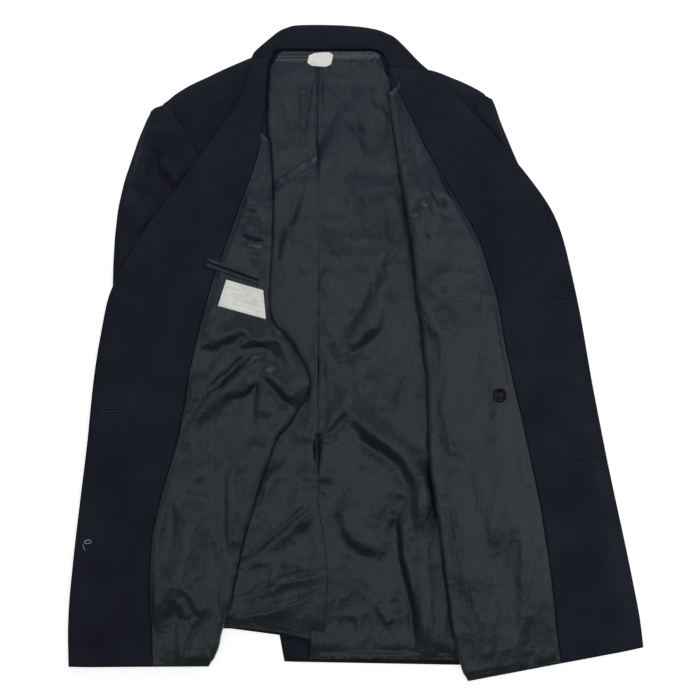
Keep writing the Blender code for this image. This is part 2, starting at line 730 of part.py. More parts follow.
def build_pocket(collection):
    for name, ends in POCKET_JETS.items():
        outer, inner = [np.array(end, float) for end in ends]
        along = (inner - outer) / np.linalg.norm(inner - outer)
        across = np.array([along[1], -along[0]]) * JET_WIDTH / 2
        corners = (outer - across, inner - across, inner + across, outer + across)
        grid = front_patch(RIGHT, corners, 5, 1, JET_THICK)
        add_wall(name, grid, JET_THICK, "lining", collection)


def build_labels(collection):
    grid = front_patch(RIGHT, NAME_LABEL, 6, 2, LABEL)
    add_wall("name_label", grid, LABEL, "label", collection)
    upper_out, upper_in, lower_in, lower_out = [np.array(corner, float) for corner in NECK_LABEL]
    z = BACK_LINING_Z + BRIDGE_LIFT + LINING / 2 + GAP + LABEL / 2
    rows = [
        [(*(start + u * (end - start)), z) for u in (0.0, 0.5, 1.0)]
        for start, end in ((upper_out, upper_in), (lower_out, lower_in))
    ]
    add_wall("neck_label", np.array(rows), LABEL, "label", collection)


def build_button(collection, cutters):
    """The inside button: a turned disc with a raised rim and four sewing holes."""
    out, y = BUTTON_PLACE
    base = front_surface(LEFT, out, y) + GAP
    half = BUTTON_THICK / 2
    dish = BUTTON_RADIUS - BUTTON_RIM
    profile = (
        (0.0, BUTTON_THICK - BUTTON_DISH),
        (dish - BUTTON_RIM_SLOPE, BUTTON_THICK - BUTTON_DISH),
        (dish, BUTTON_THICK - BUTTON_RIM_DROP),
        (BUTTON_RADIUS - BUTTON_BEVEL, BUTTON_THICK),
        (BUTTON_RADIUS, half),
        (BUTTON_RADIUS - BUTTON_BEVEL, 0.0),
        (0.0, 0.0),
    )
    mesh = bpy.data.meshes.new("button_inside")
    points = [(radius * MM, 0.0, z * MM) for radius, z in profile]
    mesh.from_pydata(points, [(i, i + 1) for i in range(len(points) - 1)], [])
    button = add_object("button_inside", mesh, "button", collection)
    button.location = (out * MM, y * MM, base * MM)
    turn = button.modifiers.new("Turn", "SCREW")
    turn.steps = turn.render_steps = BUTTON_TURN_STEPS
    turn.use_merge_vertices = True
    turn.merge_threshold = 0.00001
    turn.use_normal_calculate = True
    for index in range(BUTTON_HOLES):
        angle = math.pi * (2 * index + 1) / BUTTON_HOLES
        bpy.ops.mesh.primitive_cylinder_add(
            vertices=8, radius=BUTTON_HOLE_RADIUS * MM, depth=3 * BUTTON_THICK * MM,
            location=(
                (out + BUTTON_HOLE_OUT * math.cos(angle)) * MM,
                (y + BUTTON_HOLE_OUT * math.sin(angle)) * MM,
                (base + half) * MM,
            ),
        )
        cutter = bpy.context.object
        cutter.name = f"button_hole_{index}"
        for owner in list(cutter.users_collection):
            owner.objects.unlink(cutter)
        cutters.objects.link(cutter)
        cutter.hide_render = True
        cutter.display_type = "WIRE"
        cut = button.modifiers.new(f"Hole {index}", "BOOLEAN")
        cut.operation = "DIFFERENCE"
        cut.solver = "EXACT"
        cut.object = cutter


def clear_scene():
    for item in list(bpy.data.objects):
        bpy.data.objects.remove(item, do_unlink=True)


def main():
    clear_scene()
    collection = bpy.data.collections.new("military_dress_tunic")
    cutters = bpy.data.collections.new("cutters")
    bpy.context.scene.collection.children.link(collection)
    bpy.context.scene.collection.children.link(cutters)
    for side in (RIGHT, LEFT):
        build_backs(side, collection)
        build_fronts(side, collection)
        build_sleeves(side, collection)
    add_wall("collar", collar_rows(), COLLAR, "wool", collection)
    build_pocket(collection)
    build_labels(collection)
    build_button(collection, cutters)


main()
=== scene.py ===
"""A dark navy double-breasted dress tunic, laid open on its back to show its satin lining."""

import math

import bpy
import numpy as np
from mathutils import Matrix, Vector
from mathutils.bvhtree import BVHTree


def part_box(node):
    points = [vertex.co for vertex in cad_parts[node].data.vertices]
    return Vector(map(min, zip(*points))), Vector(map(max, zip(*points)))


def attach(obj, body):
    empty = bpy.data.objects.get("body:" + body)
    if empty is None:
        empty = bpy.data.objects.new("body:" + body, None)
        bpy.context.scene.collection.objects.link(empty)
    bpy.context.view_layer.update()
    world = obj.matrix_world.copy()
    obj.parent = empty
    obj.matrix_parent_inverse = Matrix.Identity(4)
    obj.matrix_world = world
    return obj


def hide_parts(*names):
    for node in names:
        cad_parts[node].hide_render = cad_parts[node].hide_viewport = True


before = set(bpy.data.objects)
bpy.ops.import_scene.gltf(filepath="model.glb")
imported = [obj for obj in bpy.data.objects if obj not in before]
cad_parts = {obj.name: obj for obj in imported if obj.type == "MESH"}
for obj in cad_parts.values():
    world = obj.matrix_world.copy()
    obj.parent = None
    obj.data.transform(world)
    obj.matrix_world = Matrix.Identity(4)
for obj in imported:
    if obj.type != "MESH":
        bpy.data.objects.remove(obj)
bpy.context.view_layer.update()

# ---------------------------------------------------------------- Table top, lights and camera
# The tunic lies on a plain white table under soft studio light: one wide panel over the collar end,
# a weaker one on each side, and a dim sky, bright only overhead. The camera looks straight down.

CAMERA_OVER = (-0.0073, 0.0043, 2.2)
SEEN_WIDTH = 0.8575
SEEN_HEIGHT = 0.008
SENSOR = 36.0

camera = bpy.data.objects.new("camera", bpy.data.cameras.new("camera"))
camera.data.sensor_width = SENSOR
camera.data.lens = SENSOR / SEEN_WIDTH * (CAMERA_OVER[2] - SEEN_HEIGHT)
camera.data.clip_end = 30
camera.location = CAMERA_OVER
bpy.context.scene.collection.objects.link(camera)
bpy.context.scene.camera = camera

LIGHT_PANELS = (
    # name, place, power in watts, width, length
    ("collar_end_panel", (-0.10, 1.80, 0.90), 12.0, 2.0, 0.9),
    ("right_panel", (0.95, -0.1, 0.75), 4.0, 0.9, 1.6),
    ("left_panel", (-2.00, 0.2, 0.90), 3.0, 1.0, 1.6),
)
for name, place, power, width, length in LIGHT_PANELS:
    lamp = bpy.data.lights.new(name, "AREA")
    lamp.shape = "RECTANGLE"
    lamp.size, lamp.size_y = width, length
    lamp.energy = power
    panel = bpy.data.objects.new(name, lamp)
    panel.location = place
    panel.rotation_euler = (-Vector(place)).to_track_quat("-Z", "Y").to_euler()
    bpy.context.scene.collection.objects.link(panel)

SKY_AXIS = (-0.20, -0.10, 0.97)
SKY = (
    # nearness of the direction to the sky's bright axis, brightness
    (0.0, 0.22), (0.40, 0.16), (0.78, 0.05), (0.90, 0.26), (0.97, 1.05), (1.0, 2.40),
)
world = bpy.data.worlds.new("studio")
world.use_nodes = True
sky = world.node_tree.nodes
direction = sky.new("ShaderNodeTexCoord")
nearness = sky.new("ShaderNodeVectorMath")
nearness.operation = "DOT_PRODUCT"
nearness.inputs[1].default_value = SKY_AXIS
shade = sky.new("ShaderNodeValToRGB")
while len(shade.color_ramp.elements) < len(SKY):
    shade.color_ramp.elements.new(0.5)
for element, (near, bright) in zip(shade.color_ramp.elements, SKY):
    element.position = near
    element.color = (bright, bright, bright, 1.0)
world.node_tree.links.new(direction.outputs["Generated"], nearness.inputs[0])
world.node_tree.links.new(nearness.outputs["Value"], shade.inputs["Fac"])
world.node_tree.links.new(shade.outputs["Color"], sky["Background"].inputs["Color"])
bpy.context.scene.world = world
bpy.context.scene.view_settings.view_transform = "Standard"

bpy.ops.mesh.primitive_plane_add(size=12, location=(0, 0, 0))
table_top = bpy.context.object
table_top.name = "table_top"
paper = bpy.data.materials.new("white_paper")
paper.use_nodes = True
paper_shader = paper.node_tree.nodes["Principled BSDF"]
paper_shader.inputs["Base Color"].default_value = (0.9, 0.9, 0.9, 1.0)
paper_shader.inputs["Roughness"].default_value = 0.9
paper_shader.inputs["Emission Color"].default_value = (1.0, 1.0, 1.0, 1.0)
paper_shader.inputs["Emission Strength"].default_value = 0.65
table_top.data.materials.append(paper)

# ---------------------------------------------------------------- Back halves
# Navy worsted wool, cut in two halves joined down the centre back and left open below as a vent.
# The wearer's left half runs on as an underlap beneath the right half's free edge.

MM = 0.001
RIGHT, LEFT = -1, 1
SIDE_NAMES = {RIGHT: "right", LEFT: "left"}
WOOL_THICK = 1.5 * MM
BACK_STEP = 5 * MM


class Wire:
    """A socket in a material's tree, on which arithmetic adds Math nodes."""

    def __init__(self, tree, socket=None):
        self.tree = tree
        self.socket = socket

    def node(self, kind, settings=None, inputs=None, output=0):
        """A node of this kind: its settings first, then the values or wires of its sockets."""
        made = self.tree.nodes.new(kind)
        for name, value in (settings or {}).items():
            if name == "stops":
                while len(made.color_ramp.elements) < len(value):
                    made.color_ramp.elements.new(0.5)
                for element, (position, shade) in zip(made.color_ramp.elements, value):
                    element.position = position
                    element.color = (shade, shade, shade, 1.0)
            else:
                setattr(made, name, value)
        for name, value in (inputs or {}).items():
            if isinstance(value, Wire):
                self.tree.links.new(value.socket, made.inputs[name])
            else:
                made.inputs[name].default_value = value
        return Wire(self.tree, made.outputs[output])

    def __add__(self, other):
        return self.node("ShaderNodeMath", {"operation": "ADD"}, {0: self, 1: other})

    def __mul__(self, other):
        return self.node("ShaderNodeMath", {"operation": "MULTIPLY"}, {0: self, 1: other})

    __radd__ = __add__
    __rmul__ = __mul__

    def noise(self, scale, detail=2.0, stretch=(1, 1, 1), roughness=0.5):
        """Noise from 0 to 1 over the piece's own points, in features per metre."""
        place = self.node("ShaderNodeTexCoord", output=3)
        place = self.node("ShaderNodeMapping", inputs={"Vector": place, "Scale": stretch})
        return self.node(
            "ShaderNodeTexNoise",
            inputs={"Vector": place, "Scale": scale, "Detail": detail, "Roughness": roughness},
        )

    def blend(self, share, first, second):
        """A colour between two colours."""
        return self.node(
            "ShaderNodeMix", {"data_type": "RGBA"}, {0: share, 6: first, 7: second}, output=2
        )

    def ramp(self, share, *stops):
        """A grey scale through stops, each a position and a shade."""
        return self.node("ShaderNodeValToRGB", {"stops": stops}, {0: share})


def new_material(name, **constants):
    """A material, its shader with its constant sockets set, and a Wire to build its tree with."""
    made = bpy.data.materials.new(name)
    made.use_nodes = True
    shader = made.node_tree.nodes["Principled BSDF"]
    for socket, value in constants.items():
        shader.inputs[socket.replace("_", " ")].default_value = value
    return made, shader, Wire(made.node_tree)


def wire_to(shader, socket, wire):
    """Feeds a socket of a shader."""
    wire.tree.links.new(wire.socket, shader.inputs[socket])


def wool_material():
    """Close navy worsted: a fine diagonal twill with a short nap, paler where it is rubbed."""
    made, shader, start = new_material(
        "navy_wool",
        Metallic=0.0,
        Specular_IOR_Level=0.10,
        Sheen_Weight=0.03,
        Sheen_Roughness=0.45,
        Sheen_Tint=(0.70, 0.72, 0.85, 1.0),
    )
    cloudy = start.noise(16.0, 4.0)
    fibre = start.noise(900.0, 2.0, (1.0, 0.45, 1.0))
    shade = cloudy * 0.6 + fibre * 0.4
    deep, pale = (0.0128, 0.0150, 0.0240, 1.0), (0.0228, 0.0252, 0.0385, 1.0)
    base = start.blend(start.ramp(shade, (0.35, 0.0), (0.65, 1.0)), deep, pale)
    lint = start.ramp(start.noise(520.0, 0.0), (0.80, 0.0), (0.835, 1.0))
    wire_to(shader, "Base Color", start.blend(lint * 0.35, base, (0.11, 0.11, 0.13, 1.0)))
    wire_to(shader, "Roughness", 0.78 + fibre * 0.16)
    place = start.node("ShaderNodeTexCoord", output=3)
    turned = start.node(
        "ShaderNodeMapping", inputs={"Vector": place, "Rotation": (0.0, 0.0, math.radians(38))}
    )
    twill = start.node(
        "ShaderNodeTexWave", {"bands_direction": "X"},
        {"Vector": turned, "Scale": 210.0, "Distortion": 1.6, "Detail": 1.0, "Detail Scale": 3.0},
        output=1,
    )
    nap = twill * 0.45 + fibre * 0.4 + cloudy * 0.5
    wire_to(
        shader, "Normal",
        start.node("ShaderNodeBump", inputs={"Strength": 0.32, "Distance": 0.00025, "Height": nap}),
    )
    return made


NAVY_WOOL = wool_material()


def smooth_step(low, high, value):
    """0 up to low, 1 from high on, and a smooth rise between them."""
    share = np.clip((value - low) / (high - low), 0.0, 1.0)
    return share * share * (3 - 2 * share)


def plain_solid(name):
    """The points and triangles of a piece's plain solid."""
    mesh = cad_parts[name].data
    mesh.calc_loop_triangles()
    points = np.empty(len(mesh.vertices) * 3, np.float32)
    mesh.vertices.foreach_get("co", points)
    faces = np.empty(len(mesh.loop_triangles) * 3, np.int32)
    mesh.loop_triangles.foreach_get("vertices", faces)
    return points.reshape(-1, 3).astype(float), faces.reshape(-1, 3)


def tree_of(points, faces):
    """A search tree of triangles, for rays to meet."""
    return BVHTree.FromPolygons(points.tolist(), faces.tolist())


def cut(solid, start, end):
    """Where the upright plane through start and end cuts a solid: places across, heights."""
    points, faces = solid
    start, end = np.asarray(start, float), np.asarray(end, float)
    along = (end - start) / np.linalg.norm(end - start)
    aside = (points[:, :2] - start) @ np.array([-along[1], along[0]])
    pairs = np.concatenate([faces[:, [0, 1]], faces[:, [1, 2]], faces[:, [2, 0]]])
    pairs = pairs[(aside[pairs[:, 0]] > 0) != (aside[pairs[:, 1]] > 0)]
    first, second = aside[pairs[:, 0]], aside[pairs[:, 1]]
    share = (first / (first - second))[:, None]
    met = points[pairs[:, 0]] * (1 - share) + points[pairs[:, 1]] * share
    return met[:, 0], met[:, 2]


def height_on(tree, x, y, missing):
    """Height of a surface at each place, met from above."""
    found = np.full(np.shape(x), float(missing))
    for place in np.ndindex(found.shape):
        hit = tree.ray_cast((x[place], y[place], 1.0), (0.0, 0.0, -1.0))[0]
        if hit is not None:
            found[place] = hit.z
    return found


def softened(values, reach):
    """A table of heights, each the mean of its neighbours up to `reach` rows and columns away."""
    for axis in range(values.ndim):
        wide = [(reach, reach) if axis == k else (0, 0) for k in range(values.ndim)]
        padded = np.pad(values, wide, mode="edge")
        values = sum(
            np.take(padded, range(k, k + values.shape[axis]), axis) for k in range(2 * reach + 1)
        ) / (2 * reach + 1)
    return values


ROW_INSET = 0.6 * MM
SIDE_INSET = 0.8 * MM


def laid_grid(name, thickness, step):
    """The middle of a wall that lies flat: rows across it from its top to its bottom."""
    solid = plain_solid(name)
    low, high = solid[0].min(axis=0), solid[0].max(axis=0)
    ys = np.linspace(high[1] - ROW_INSET, low[1] + ROW_INSET, int((high[1] - low[1]) / step))
    ends = np.array([
        (found.min(), found.max()) for found in (cut(solid, (0, y), (1, y))[0] for y in ys)
    ])
    across = np.linspace(0.0, 1.0, int((high[0] - low[0]) / step))[None, :]
    x = ends[:, :1] + (ends[:, 1:] - ends[:, :1]) * across
    y = np.repeat(ys[:, None], across.shape[1], axis=1)
    held = np.clip(x, ends[:, :1] + SIDE_INSET, ends[:, 1:] - SIDE_INSET)
    z = height_on(tree_of(*solid), held, y, high[2]) - thickness / 2
    return np.stack([x, y, softened(z, 2)], axis=-1)


# Y above which a half's sides are straight, and Y where its tail starts to slant
HEM_RISE, HEM_EASE = -0.320, -0.250
RIGHT_HEM = ((-165, -336.5), (-94, -344.5), (-60, -352), (-36, -357))


def hung(grid, hem):
    """The grid with its tail drawn down to a slanting hem, given as points in millimetres."""
    tail = grid[:, 0, 1] < HEM_RISE
    edge = np.concatenate([grid[tail, 0], grid[-1]])
    edge = edge[np.argsort(edge[:, 0])]
    x, y = grid[..., 0], grid[..., 1]
    before = np.interp(x, edge[:, 0], edge[:, 1])
    xs, ys = np.array(hem).T * MM
    share = np.clip((HEM_EASE - y) / (HEM_EASE - before), 0.0, 1.0)
    return np.stack([x, y + (np.interp(x, xs, ys) - before) * share, grid[..., 2]], axis=-1)


def surface_normals(grid):
    """Unit normals of a grid of points, towards the side that its rows and columns turn."""
    along, across = np.gradient(grid, axis=0), np.gradient(grid, axis=1)
    normals = np.cross(across, along)
    return normals / np.maximum(np.linalg.norm(normals, axis=-1, keepdims=True), 1e-12)


def cloth_piece(name, grid, thickness, material, *nodes):
    """A cloth wall on a grid of points, which stands for the given plain solids."""
    count, across = grid.shape[:2]
    index = np.arange(count * across).reshape(count, across)
    faces = np.stack(
        [index[:-1, :-1], index[1:, :-1], index[1:, 1:], index[:-1, 1:]], axis=-1
    ).reshape(-1, 4)
    mesh = bpy.data.meshes.new(name)
    mesh.from_pydata(grid.reshape(-1, 3).tolist(), [], faces.tolist())
    mesh.update()
    mesh.shade_smooth()
    mesh.materials.append(material)
    piece = bpy.data.objects.new(name, mesh)
    bpy.context.scene.collection.objects.link(piece)
    wall = piece.modifiers.new("wall", "SOLIDIFY")
    wall.thickness = thickness
    wall.offset = 0.0
    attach(piece, "root")
    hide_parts(*nodes)
    return piece


for side in (RIGHT, LEFT):
    name = f"back_{SIDE_NAMES[side]}"
    grid = laid_grid(name, WOOL_THICK, BACK_STEP)
    if side == RIGHT:
        grid = hung(grid, RIGHT_HEM)
    back = cloth_piece(f"{name}_wool", grid, WOOL_THICK, NAVY_WOOL, name)

# ---------------------------------------------------------------- Side bodies
# Narrow wool panels under the arms, between the back and each front. The tunic lies folded along
# them, so each goes round from the underside to the run above.

for side in (RIGHT, LEFT):
    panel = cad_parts[f"side_body_{SIDE_NAMES[side]}"]
    panel.data.materials.clear()
    panel.data.materials.append(NAVY_WOOL)

# ---------------------------------------------------------------- Back lining
# Dark grey-green satin in two halves, a little looser than the wool, so that it lies in long soft
# folds and fine creases. The halves meet down the centre seam and part below it at the vent.

LINING_THICK = 0.7 * MM
LINING_STEP = 2.2 * MM


def satin_material():
    """Acetate satin: smooth and faintly ribbed, with a soft gloss, a mottled, creased face, and painted
    light and shade that make it lighter towards the neck and darker towards the hem.
    """
    made, shader, start = new_material(
        "lining_satin",
        Metallic=0.0,
        Specular_IOR_Level=0.55,
        Sheen_Weight=0.02,
        Sheen_Roughness=0.35,
        Sheen_Tint=(0.75, 0.85, 0.90, 1.0),
    )
    broad = start.noise(9.0, 3.0)
    mottle = start.noise(120.0, 4.0, (1.0, 0.5, 1.0))
    place = start.node("ShaderNodeTexCoord", output=3)
    height = start.node("ShaderNodeSeparateXYZ", inputs={0: place}, output=1)
    # Painted light: a share from the hem up to the neck, by which the satin's colour is painted lighter
    # towards the neck.
    painted_light_to_neck = start.node(
        "ShaderNodeMapRange", {"clamp": True},
        {0: height, 1: -0.35, 2: 0.30, 3: 0.0, 4: 1.0},
    )
    # The darker colours at the hem and the lighter ones at the neck are painted shade and painted light,
    # not a change in the satin.
    low = start.blend(mottle, (0.0005, 0.0060, 0.0100, 1.0), (0.0025, 0.0150, 0.0210, 1.0))
    high = start.blend(mottle, (0.0015, 0.0090, 0.0180, 1.0), (0.0080, 0.0200, 0.0340, 1.0))
    wire_to(shader, "Base Color", start.blend(painted_light_to_neck, low, high))
    wire_to(shader, "Roughness", 0.30 + broad * 0.10 + mottle * 0.06)
    crinkle = start.noise(150.0, 5.0, (1.0, 0.6, 1.0), 0.6)
    warp = start.node(
        "ShaderNodeTexWave", {"bands_direction": "X"},
        {"Vector": place, "Scale": 300.0, "Distortion": 0.8, "Detail": 1.0}, output=1,
    )
    hairlines = start.ramp(
        start.noise(38.0, 3.0, (1.0, 0.45, 1.0)),
        (0.478, 0.0), (0.497, 1.0), (0.503, 1.0), (0.522, 0.0),
    )
    broken = start.ramp(start.noise(21.0, 1.0), (0.50, 0.0), (0.62, 1.0))
    relief = crinkle * 0.85 + hairlines * broken * 0.13 + warp * 0.03
    wire_to(
        shader, "Normal",
        start.node("ShaderNodeBump", inputs={"Strength": 0.75, "Distance": 0.0022, "Height": relief}),
    )
    return made


SATIN = satin_material()


NOISE_CELLS = 64
NOISE_START = (17.3, 9.1)


def lattice_noise(x, y, wavelength, seed):
    """Smooth noise from -1 to 1, wavelength in metres along x and y."""
    table = np.random.default_rng(seed).random((NOISE_CELLS, NOISE_CELLS)) * 2 - 1
    u, v = x / wavelength[0] + NOISE_START[0], y / wavelength[1] + NOISE_START[1]
    i, j = np.floor(u).astype(int), np.floor(v).astype(int)
    a, b = smooth_step(0.0, 1.0, u - i), smooth_step(0.0, 1.0, v - j)
    i, j = i % NOISE_CELLS, j % NOISE_CELLS
    beyond_i, beyond_j = (i + 1) % NOISE_CELLS, (j + 1) % NOISE_CELLS
    upper = table[i, j] * (1 - a) + table[beyond_i, j] * a
    lower = table[i, beyond_j] * (1 - a) + table[beyond_i, beyond_j] * a
    return upper * (1 - b) + lower * b


SWAY = 0.35  # how far creases wander sideways, against their width
SWAY_LENGTH = 60 * MM
SWAY_SEED = 40
CREST_SHARPNESS = 1.6


def crumple(x, y, sizes, seed):
    """Creased relief: sharp-crested noise at each (width, length, height) in millimetres."""
    total = np.zeros_like(x)
    for count, (width, length, height) in enumerate(sizes):
        wander = lattice_noise(x, y, (SWAY_LENGTH, SWAY_LENGTH), seed + SWAY_SEED + count)
        sway = SWAY * width * MM * wander
        creased = lattice_noise(x + sway, y, (width * MM, length * MM), seed + count)
        total += height * MM * (1 - np.abs(creased) * CREST_SHARPNESS)
    return total


FOLD_GAIN, FLANK_GAIN = 1.8, 1.45
VALLEY = 0.3  # how deep a fold's valley lies beside its steep flank, against its height
VALLEY_OFF, VALLEY_WIDE = 2.0, 0.9  # where the valley lies and its width, against the steep flank
END_HEIGHT = 0.25  # a fold's height at its ends, against its middle


def fold_relief(x, y, folds):
    """Relief of given folds: each a height, the widths of its left and right flanks and the
    points it runs through, in millimetres. Left and right are as seen going along the points."""
    total = np.zeros_like(x)
    for height, left, right, *way in folds:
        height, left, right = height * FOLD_GAIN, left * FLANK_GAIN, right * FLANK_GAIN
        line = np.array(way, float) * MM
        steps = np.linalg.norm(np.diff(line, axis=0), axis=1)
        before = np.concatenate([[0.0], np.cumsum(steps)])
        nearest = np.full(x.shape, np.inf)
        aside, gone = np.zeros_like(x), np.zeros_like(x)
        for start, end, size, done in zip(line[:-1], line[1:], steps, before):
            way_x, way_y = (end - start) / size
            share = np.clip((x - start[0]) * way_x + (y - start[1]) * way_y, 0.0, size)
            off_x, off_y = x - start[0] - share * way_x, y - start[1] - share * way_y
            distance = np.hypot(off_x, off_y)
            closer = distance < nearest
            turn = np.sign(way_x * off_y - way_y * off_x)
            nearest = np.where(closer, distance, nearest)
            aside = np.where(closer, turn, aside)
            gone = np.where(closer, done + share, gone)
        flank = np.where(aside > 0, left, right) * MM
        steep = min(left, right) * MM
        beside = (aside > 0) == (left < right)
        off_valley = (nearest - VALLEY_OFF * steep) / (VALLEY_WIDE * steep)
        valley = VALLEY * np.exp(-(off_valley**2)) * beside * (left != right)
        gone = gone / before[-1]
        ends = smooth_step(-0.02, 0.22, gone) * (1 - smooth_step(0.78, 1.02, gone))
        profile = np.exp(-((nearest / flank) ** 2)) - valley
        total += height * MM * profile * (END_HEIGHT + (1 - END_HEIGHT) * ends)
    return total


FRONT_STEP = 4 * MM
# Y of a row across each front, at the turn-back fold, at the edge and at the armhole or side seam
ROW_TIES = {
    RIGHT: (
        (362.3, 358.8, 306), (343, 343, 289), (325, 325, 280), (300, 300, 268), (275, 275, 254),
        (250, 250, 238), (215, 215, 212), (175, 175, 175), (-383.2, -384.2, -379),
    ),
    LEFT: (
        (349.8, 345.4, 316), (332, 330, 306), (302, 300, 290), (277, 275, 270), (252, 250, 248),
        (216, 215, 214), (175, 175, 175), (-40, -40, -40), (-86, -85, -86), (-139, -135, -138),
        (-199, -190, -196), (-262, -245, -256), (-318, -290, -308), (-360, -325, -348),
        (-401.2, -360.3, -377),
    ),
}


def row_ties(side, step):
    """The three Y values of each fine row down a front."""
    ties = np.array(ROW_TIES[side], float) * MM
    before = np.concatenate([[0.0], np.cumsum(np.abs(np.diff(ties[:, 0])))])
    at = np.linspace(0.0, before[-1], int(before[-1] / step))
    return np.stack([np.interp(at, before, ties[:, k]) for k in range(3)], axis=1)


# How far out the upper armhole lies, from the shoulder point down: height up the garment, way out
ARMHOLE_TOP = {
    RIGHT: ((306, 237), (299, 232), (292, 228), (287, 224.5), (282, 221), (278, 217.5), (270, 211.5)),
    LEFT: ((316, 161.5), (311, 159), (307, 157), (302.5, 155), (298, 152.5), (292, 149)),
}


# How far out the fold, the edge and the armhole lie at the first row, before they are found
FIRST_GUESS = {RIGHT: (0.105, 0.128, 0.234), LEFT: (0.038, 0.093, 0.158)}
FORM_KEYS = (
    "y_fold", "y_edge", "y_side", "fold", "seam", "edge", "side", "top", "low", "mid_edge",
)
WOOL_INSIDE = 1.4 * MM  # from the wool's fold to where the lining's would be
UNDER_ROW_DROP = 1.6 * MM
LEAST_UNDER_RUN = 50 * MM


def front_lines(side, step):
    """The lines that shape a front, at each fine row: Y at the fold, edge and side, how far out the
    fold, facing seam, edge and side lie, and the heights of the two runs."""
    name = SIDE_NAMES[side]
    mirror = np.array([side, 1.0, 1.0])
    solids = [plain_solid(f"{kind}_{name}") for kind in ("facing", "front_lining", "front", "back")]
    facing, lining, wool, back = [(points * mirror, faces) for points, faces in solids]
    lines = []
    fold, edge, reach = FIRST_GUESS[side]
    for y_fold, y_edge, y_side in row_ties(side, step):
        for _ in range(2):
            start, end = (fold, y_fold), (edge, y_edge)
            faced, faced_z = cut(facing, start, end)
            lined, lined_z = cut(lining, start, end)
            wooled, wooled_z = cut(wool, start, end)
            if len(lined) > 3:
                fold, low = lined.min(), lined_z.min()
            else:
                fold, low = wooled.min() - WOOL_INSIDE, wooled_z.min() - WOOL_INSIDE
            edge = faced.max()
        upper = faced_z > faced_z.max() - 1.5 * MM
        for _ in range(2):
            behind, _ = cut(back, (fold, y_fold - UNDER_ROW_DROP), (reach, y_side - UNDER_ROW_DROP))
            if len(behind) and behind.max() > fold + LEAST_UNDER_RUN:
                reach = behind.max()
        outer = faced > edge - 2.5 * MM
        lines.append((
            y_fold, y_edge, y_side, fold, faced[upper].min(), edge, reach,
            faced_z.max() - 0.6 * MM, low + 0.5 * MM, faced_z[outer].mean(),
        ))
    lines = np.array(lines)
    for column in range(3, lines.shape[1]):
        for _ in range(3):
            lines[3:-3, column] = softened(lines[:, column], 3)[3:-3]
    heights, outs = np.array(ARMHOLE_TOP[side]).T * MM
    least = np.interp(lines[:, 2], heights[::-1], outs[::-1], left=0.0)
    form = dict(zip(FORM_KEYS, lines.T[:, :, None]))
    form["side"] = np.maximum(form["side"], least[:, None])
    return form


# The fronts' lines are found before the back lining, whose relief fades beneath the fronts' folds
front_form = {side: front_lines(side, FRONT_STEP) for side in (RIGHT, LEFT)}
lining_form = {side: front_lines(side, LINING_STEP) for side in (RIGHT, LEFT)}

BACK_FOLDS = (
    # height, left flank, right flank, then the points along the fold
    (3.6, 16, 5, (-13, 292), (-26, 262), (-38, 237), (-54, 225), (-69, 217), (-87, 204), (-103, 190)),
    (2.6, 12, 4, (-47, 222), (-59, 206), (-61, 188), (-69, 164), (-81, 145), (-86, 127), (-87, 102)),
    (1.8, 5, 2.5, (-65, 322), (-62, 285)),
    (2.4, 7, 2.5, (-49, 330), (-56, 286), (-59, 262)),
    (2.2, 2.5, 6, (-43, 330), (-46, 300), (-52, 249)),
    (-2.6, 16, 14, (27, 311), (20, 274), (11, 237), (2, 206)),
    (3.4, 12, 5, (51, 127), (44, 96), (27, 72), (17, 53), (7, 35), (-1, 19)),
    (1.8, 4, 3, (66, 139), (32, 100)),
    (2.6, 4, 10, (29, 59), (23, 35), (5, 19), (-13, 2)),
    (1.6, 4, 3, (-36, 105), (-39, 90), (-43, 75)),
    (2.8, 5, 12, (-44, 35), (-38, 10), (-32, -2), (-23, -14), (2, -8)),
    (2.0, 3, 9, (5, -14), (-1, -30), (-10, -51), (-17, -69), (-26, -81), (-38, -94), (-54, -96)),
    (4.2, 3, 14, (-47, -162), (-42, -132), (-37, -98)),
    (3.4, 12, 3, (-52, -160), (-54, -130), (-57, -100)),
    (6.0, 9, 6, (-6, -70), (10, -84), (20, -96), (32, -104), (43, -112), (55, -121), (63, -131),
     (69, -142), (75, -153), (79, -167), (78, -184), (74, -200), (66, -216)),
    (4.2, 12, 6, (-25, -182), (-17, -188), (-12, -199), (-7, -214), (2, -227), (13, -235), (27, -242)),
    (2.0, 8, 4, (27, -302), (42, -333)),
    (2.2, 2, 8, (-142, -257), (-124, -249), (-99, -228), (-81, -213), (-65, -198), (-50, -190)),
    (2.0, 1.6, 6, (-142, -298), (-115, -291), (-93, -281), (-69, -275), (-40, -269)),
    (2.0, 1.6, 5, (-148, -326), (-118, -318), (-93, -311), (-69, -302), (-50, -292), (-38, -286)),
    (5.2, 12, 3.5, (60, -190), (58, -213), (60, -249), (77, -313), (81, -345), (81, -376)),
    (-2.2, 20, 16, (40, -230), (44, -280), (50, -330)),
)
BACK_CREASES = ((60, 110, 4.2), (27, 56, 2.1), (12, 22, 0.8))
BACK_SEED = 3
BACK_PUFF = 2.0 * MM
LOFT_MOST = 14 * MM
HEM_FADE, NECK_FADE = 28 * MM, 14 * MM
NECK_SHARE = 0.35  # of the relief, left at the neck seam
GROOVE_WIDE = 2.6 * MM
UNDER_FADE = (-4 * MM, 12 * MM)  # past a front's fold, where the relief starts and ends to fade
OPEN_NECK = 30 * MM  # how far out the fronts' folds would lie above their tops
CENTRE_SEAM = 46.2 * MM
SEAM_LAP = np.array([0.8, 0.0, 0.08]) * MM
LINING_SHORT = 2.6  # millimetres from the wool's hem up to the lining's
VENT_TOP = -150 * MM
VENT_REACH, VENT_DRAWN = 3.2 * MM, 30 * MM


def lofted(relief):
    """Relief with its hollows filled and its crests held below the most loft."""
    return LOFT_MOST * np.tanh(np.maximum(relief, 0.0) / LOFT_MOST)


